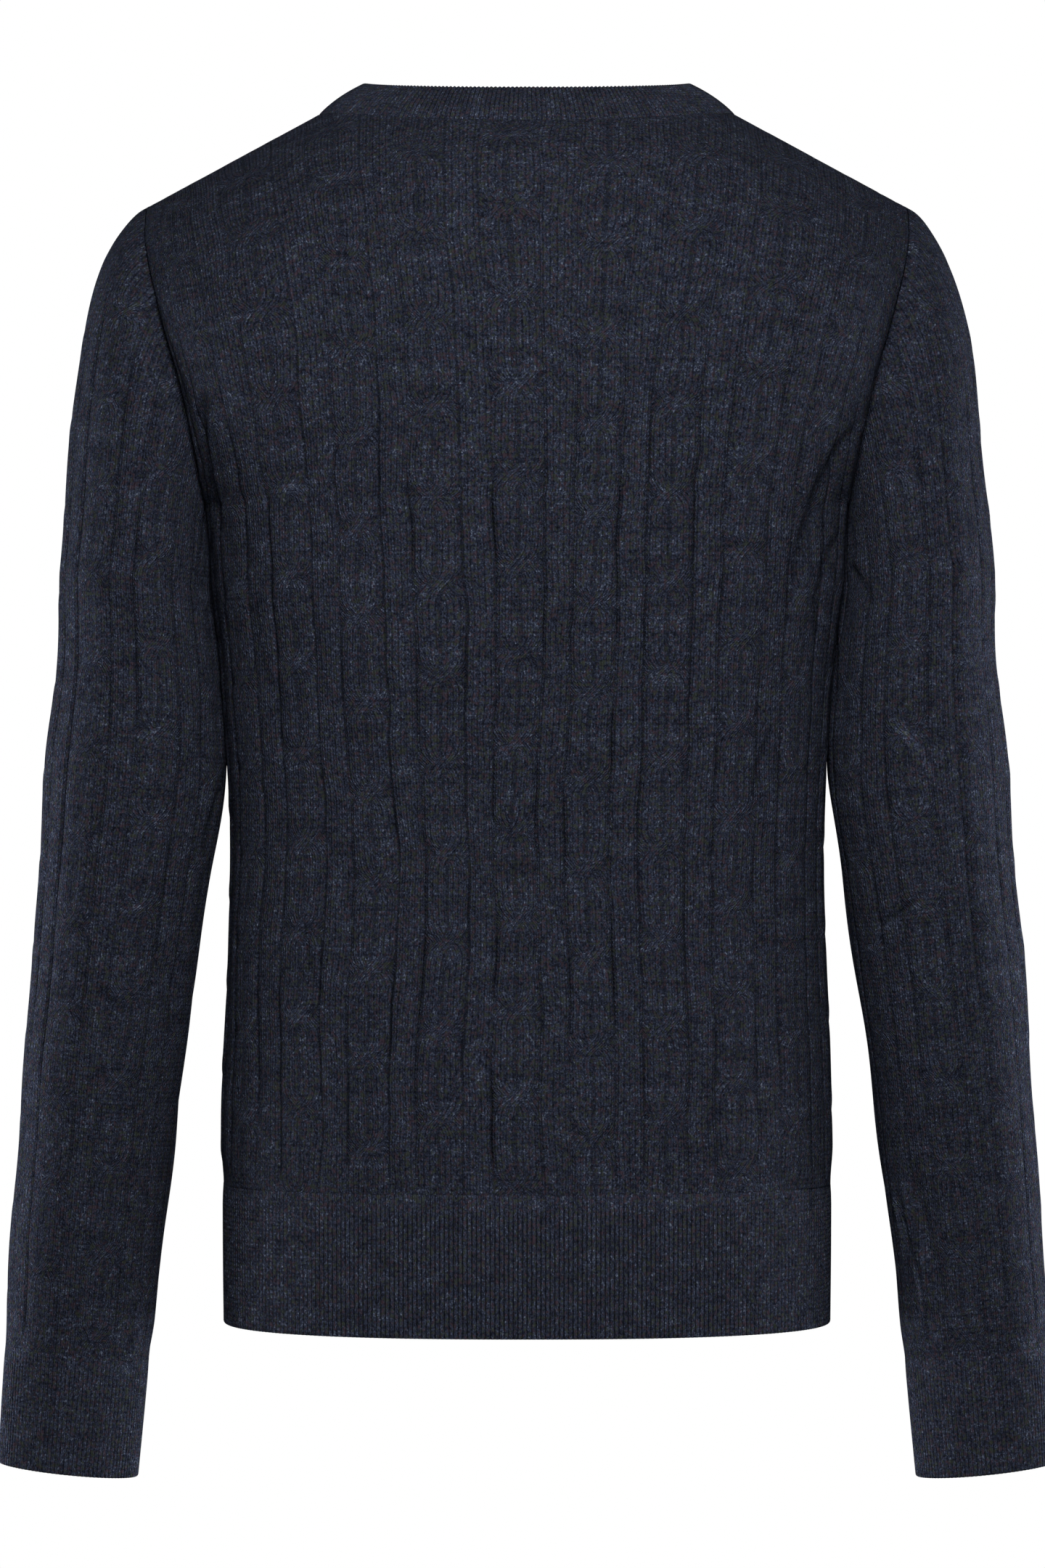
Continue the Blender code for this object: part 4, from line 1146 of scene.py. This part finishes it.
# Cast polyester, turned and polished by tumbling: dark, faintly clouded, with a soft gloss.
button_look = bpy.data.materials.new("tumbled_polyester")
button_look.use_nodes = True
tree = button_look.node_tree
shader = tree.nodes["Principled BSDF"]
place = add(tree, "TexCoord").outputs["Object"]
cloud = add(tree, "TexNoise", {},
            {"Vector": place, "Scale": CLOUD_PITCH, "Detail": 4.0, "Distortion": 1.4})
swirl = add(tree, "ValToRGB", {}, [cloud.outputs["Fac"]])
for stop, position, code in zip(swirl.color_ramp.elements, (CLOUD_START, CLOUD_END),
                                (BUTTON_DARK, BUTTON_PALE)):
    stop.position = position
    stop.color = linear(code)
tree.links.new(swirl.outputs["Color"], shader.inputs["Base Color"])
scuff = add(tree, "TexNoise", {}, {"Vector": place, "Scale": SCUFF_PITCH, "Detail": 3.0})
rough = add(tree, "MapRange", {}, [scuff.outputs["Fac"], *SCUFF_RANGE, *POLISH])
tree.links.new(rough.outputs[0], shader.inputs["Roughness"])
shader.inputs["IOR"].default_value = 1.52
shader.inputs["Specular IOR Level"].default_value = 0.12

# Spun polyester sewing thread: slightly shiny, with a fine twist.
thread_look = bpy.data.materials.new("spun_polyester_thread")
thread_look.use_nodes = True
tree = thread_look.node_tree
shader = tree.nodes["Principled BSDF"]
place = add(tree, "TexCoord").outputs["Object"]
ply = add(tree, "TexWave", {"bands_direction": "DIAGONAL"},
          {"Vector": place, "Scale": PLY_PITCH, "Distortion": 1.0})
twist = add(tree, "Bump", {}, {"Strength": 0.5, "Distance": 0.0002, "Height": ply.outputs["Fac"]})
tree.links.new(twist.outputs[0], shader.inputs["Normal"])
shader.inputs["Base Color"].default_value = linear(THREAD)
shader.inputs["Roughness"].default_value = 0.6

stitching = {}
for name, bead in (("button_threads", THREAD_HALF), ("buttonhole_stitching", HOLE_BEAD)):
    curve = bpy.data.curves.new(name, "CURVE")
    curve.dimensions = "3D"
    curve.bevel_depth = bead
    curve.bevel_resolution = 2
    curve.use_fill_caps = True
    curve.materials.append(thread_look)
    stitching[name] = curve

for number in range(1, BUTTONS + 1):
    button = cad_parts[f"button_{number}"]
    for material_slot in button.material_slots:
        material_slot.material = button_look
    spots = np.array([button.matrix_world @ vertex.co for vertex in button.data.vertices])
    middle = (spots.min(axis=0) + spots.max(axis=0)) / 2
    facing = np.linalg.svd(spots - spots.mean(axis=0), full_matrices=False)[2][2]
    facing = facing * np.sign(facing[1])
    back_face = ((spots - middle) @ facing).min()
    up = unit(np.array([0, 0, 1]) - facing * facing[2])
    across = np.cross(up, facing)
    seat = middle + facing * back_face
    for side in (-1, 1):
        path = THREAD_PATH + tuple((-run, rise) for run, rise in THREAD_PATH[-2::-1])
        line = stitching["button_threads"].splines.new("POLY")
        line.points.add(len(path) - 1)
        for point, (run, rise) in zip(line.points, path):
            place = seat + (across * side + up * run) * HOLE_OUT + facing * rise
            point.co = (*place, 1.0)
    line = stitching["buttonhole_stitching"].splines.new("POLY")
    line.use_cyclic_u = True
    line.points.add(HOLE_POINTS - 1)
    for point, angle in zip(line.points, np.linspace(0, 2 * math.pi, HOLE_POINTS, endpoint=False)):
        wide = HOLE_WIDE * np.sign(math.cos(angle)) * abs(math.cos(angle)) ** HOLE_SQUARE
        place = seat + across * wide + up * HOLE_LONG * math.sin(angle)
        place = place - facing * (BUTTON_GAP - HOLE_RISE)
        point.co = (*place, 1.0)

for name, curve in stitching.items():
    piece = bpy.data.objects.new(name, curve)
    bpy.context.scene.collection.objects.link(piece)
    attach(piece, "root")

# === The hem ribs' widths =======================================================================
# The flat width of each hem rib as it is knitted, the back's and each front's; nothing here uses it.
for name, piece in ribs.items():
    wide = 0.386 if name.startswith("back") else 0.187

# === The room ===================================================================================
# A floor and a room that the camera sees as plain white, and that give only a little soft light.
# Lamps stand behind the back, before the front and low at both sides, and the camera is straight
# behind the wearer's back.
FLOOR_Z = -0.78
FLOOR_RADIUS = 6.0
FLOOR_POINTS = 96
FLOOR_GREY = "#9a9a9a"
WHITE = (1.0, 1.0, 1.0, 1.0)
ROOM_LIGHT = 0.21        # the room's light on the cloth, beside its white to the camera
AIM = (0.0, 0.0, -0.3)
LAMPS = (
    # name           place             size  power
    ("behind_back", (0.08, -1.4, 0.28), 0.5, 40.0),
    ("left", (-1.0, 0.34, -0.6), 0.35, 32.0),
    ("right", (1.0, 0.34, -0.6), 0.35, 32.0),
    ("before_front", (0.0, 1.5, 0.05), 0.5, 40.0),
)
CAMERA_BACK = 2.8
CAMERA_X = -0.0022
CAMERA_Z = -0.331
FRAME_HIGH = 0.7776      # height of the picture at the garment
SENSOR = 24.0

sweep = bpy.data.meshes.new("floor")
spots = np.linspace(0, 2 * math.pi, FLOOR_POINTS, endpoint=False)
sweep.from_pydata([(FLOOR_RADIUS * math.cos(a), FLOOR_RADIUS * math.sin(a), FLOOR_Z) for a in spots], [],
                  [tuple(range(FLOOR_POINTS))])
floor = bpy.data.objects.new("floor", sweep)
bpy.context.scene.collection.objects.link(floor)

# Matt grey paper, which only the camera sees as glowing white, so that no shadow shows on it.
paper = bpy.data.materials.new("lit_white_floor")
paper.use_nodes = True
tree = paper.node_tree
shader = tree.nodes["Principled BSDF"]
shader.inputs["Base Color"].default_value = linear(FLOOR_GREY)
shader.inputs["Roughness"].default_value = 0.9
glow = add(tree, "Emission", {}, {"Color": WHITE, "Strength": 1.0})
seen = add(tree, "LightPath").outputs["Is Camera Ray"]
both = add(tree, "MixShader", {}, [seen, shader.outputs[0], glow.outputs[0]])
tree.links.new(both.outputs[0], tree.nodes["Material Output"].inputs["Surface"])
sweep.materials.append(paper)

# The air of the room: white to the camera, and a soft light on the cloth.
world = bpy.data.worlds.new("studio")
world.use_nodes = True
tree = world.node_tree
soft = tree.nodes["Background"]
soft.inputs["Color"].default_value = WHITE
soft.inputs["Strength"].default_value = ROOM_LIGHT
wall = add(tree, "Background", {}, {"Color": WHITE, "Strength": 1.0})
seen = add(tree, "LightPath").outputs["Is Camera Ray"]
both = add(tree, "MixShader", {}, [seen, soft.outputs[0], wall.outputs[0]])
tree.links.new(both.outputs[0], tree.nodes["World Output"].inputs["Surface"])
bpy.context.scene.world = world
bpy.context.scene.view_settings.view_transform = "Standard"

for name, spot, size, power in LAMPS:
    lamp = bpy.data.lights.new(name, "AREA")
    lamp.size = size
    lamp.energy = power
    holder = bpy.data.objects.new(name, lamp)
    holder.location = spot
    holder.rotation_euler = (Vector(AIM) - Vector(spot)).to_track_quat("-Z", "Y").to_euler()
    bpy.context.scene.collection.objects.link(holder)

camera = bpy.data.cameras.new("camera")
camera.sensor_fit = "VERTICAL"
camera.sensor_height = SENSOR
camera.lens = SENSOR * CAMERA_BACK / FRAME_HIGH
viewer = bpy.data.objects.new("camera", camera)
viewer.location = (CAMERA_X, -CAMERA_BACK, CAMERA_Z)
viewer.rotation_euler = (math.pi / 2, 0, 0)
bpy.context.scene.collection.objects.link(viewer)
bpy.context.scene.camera = viewer
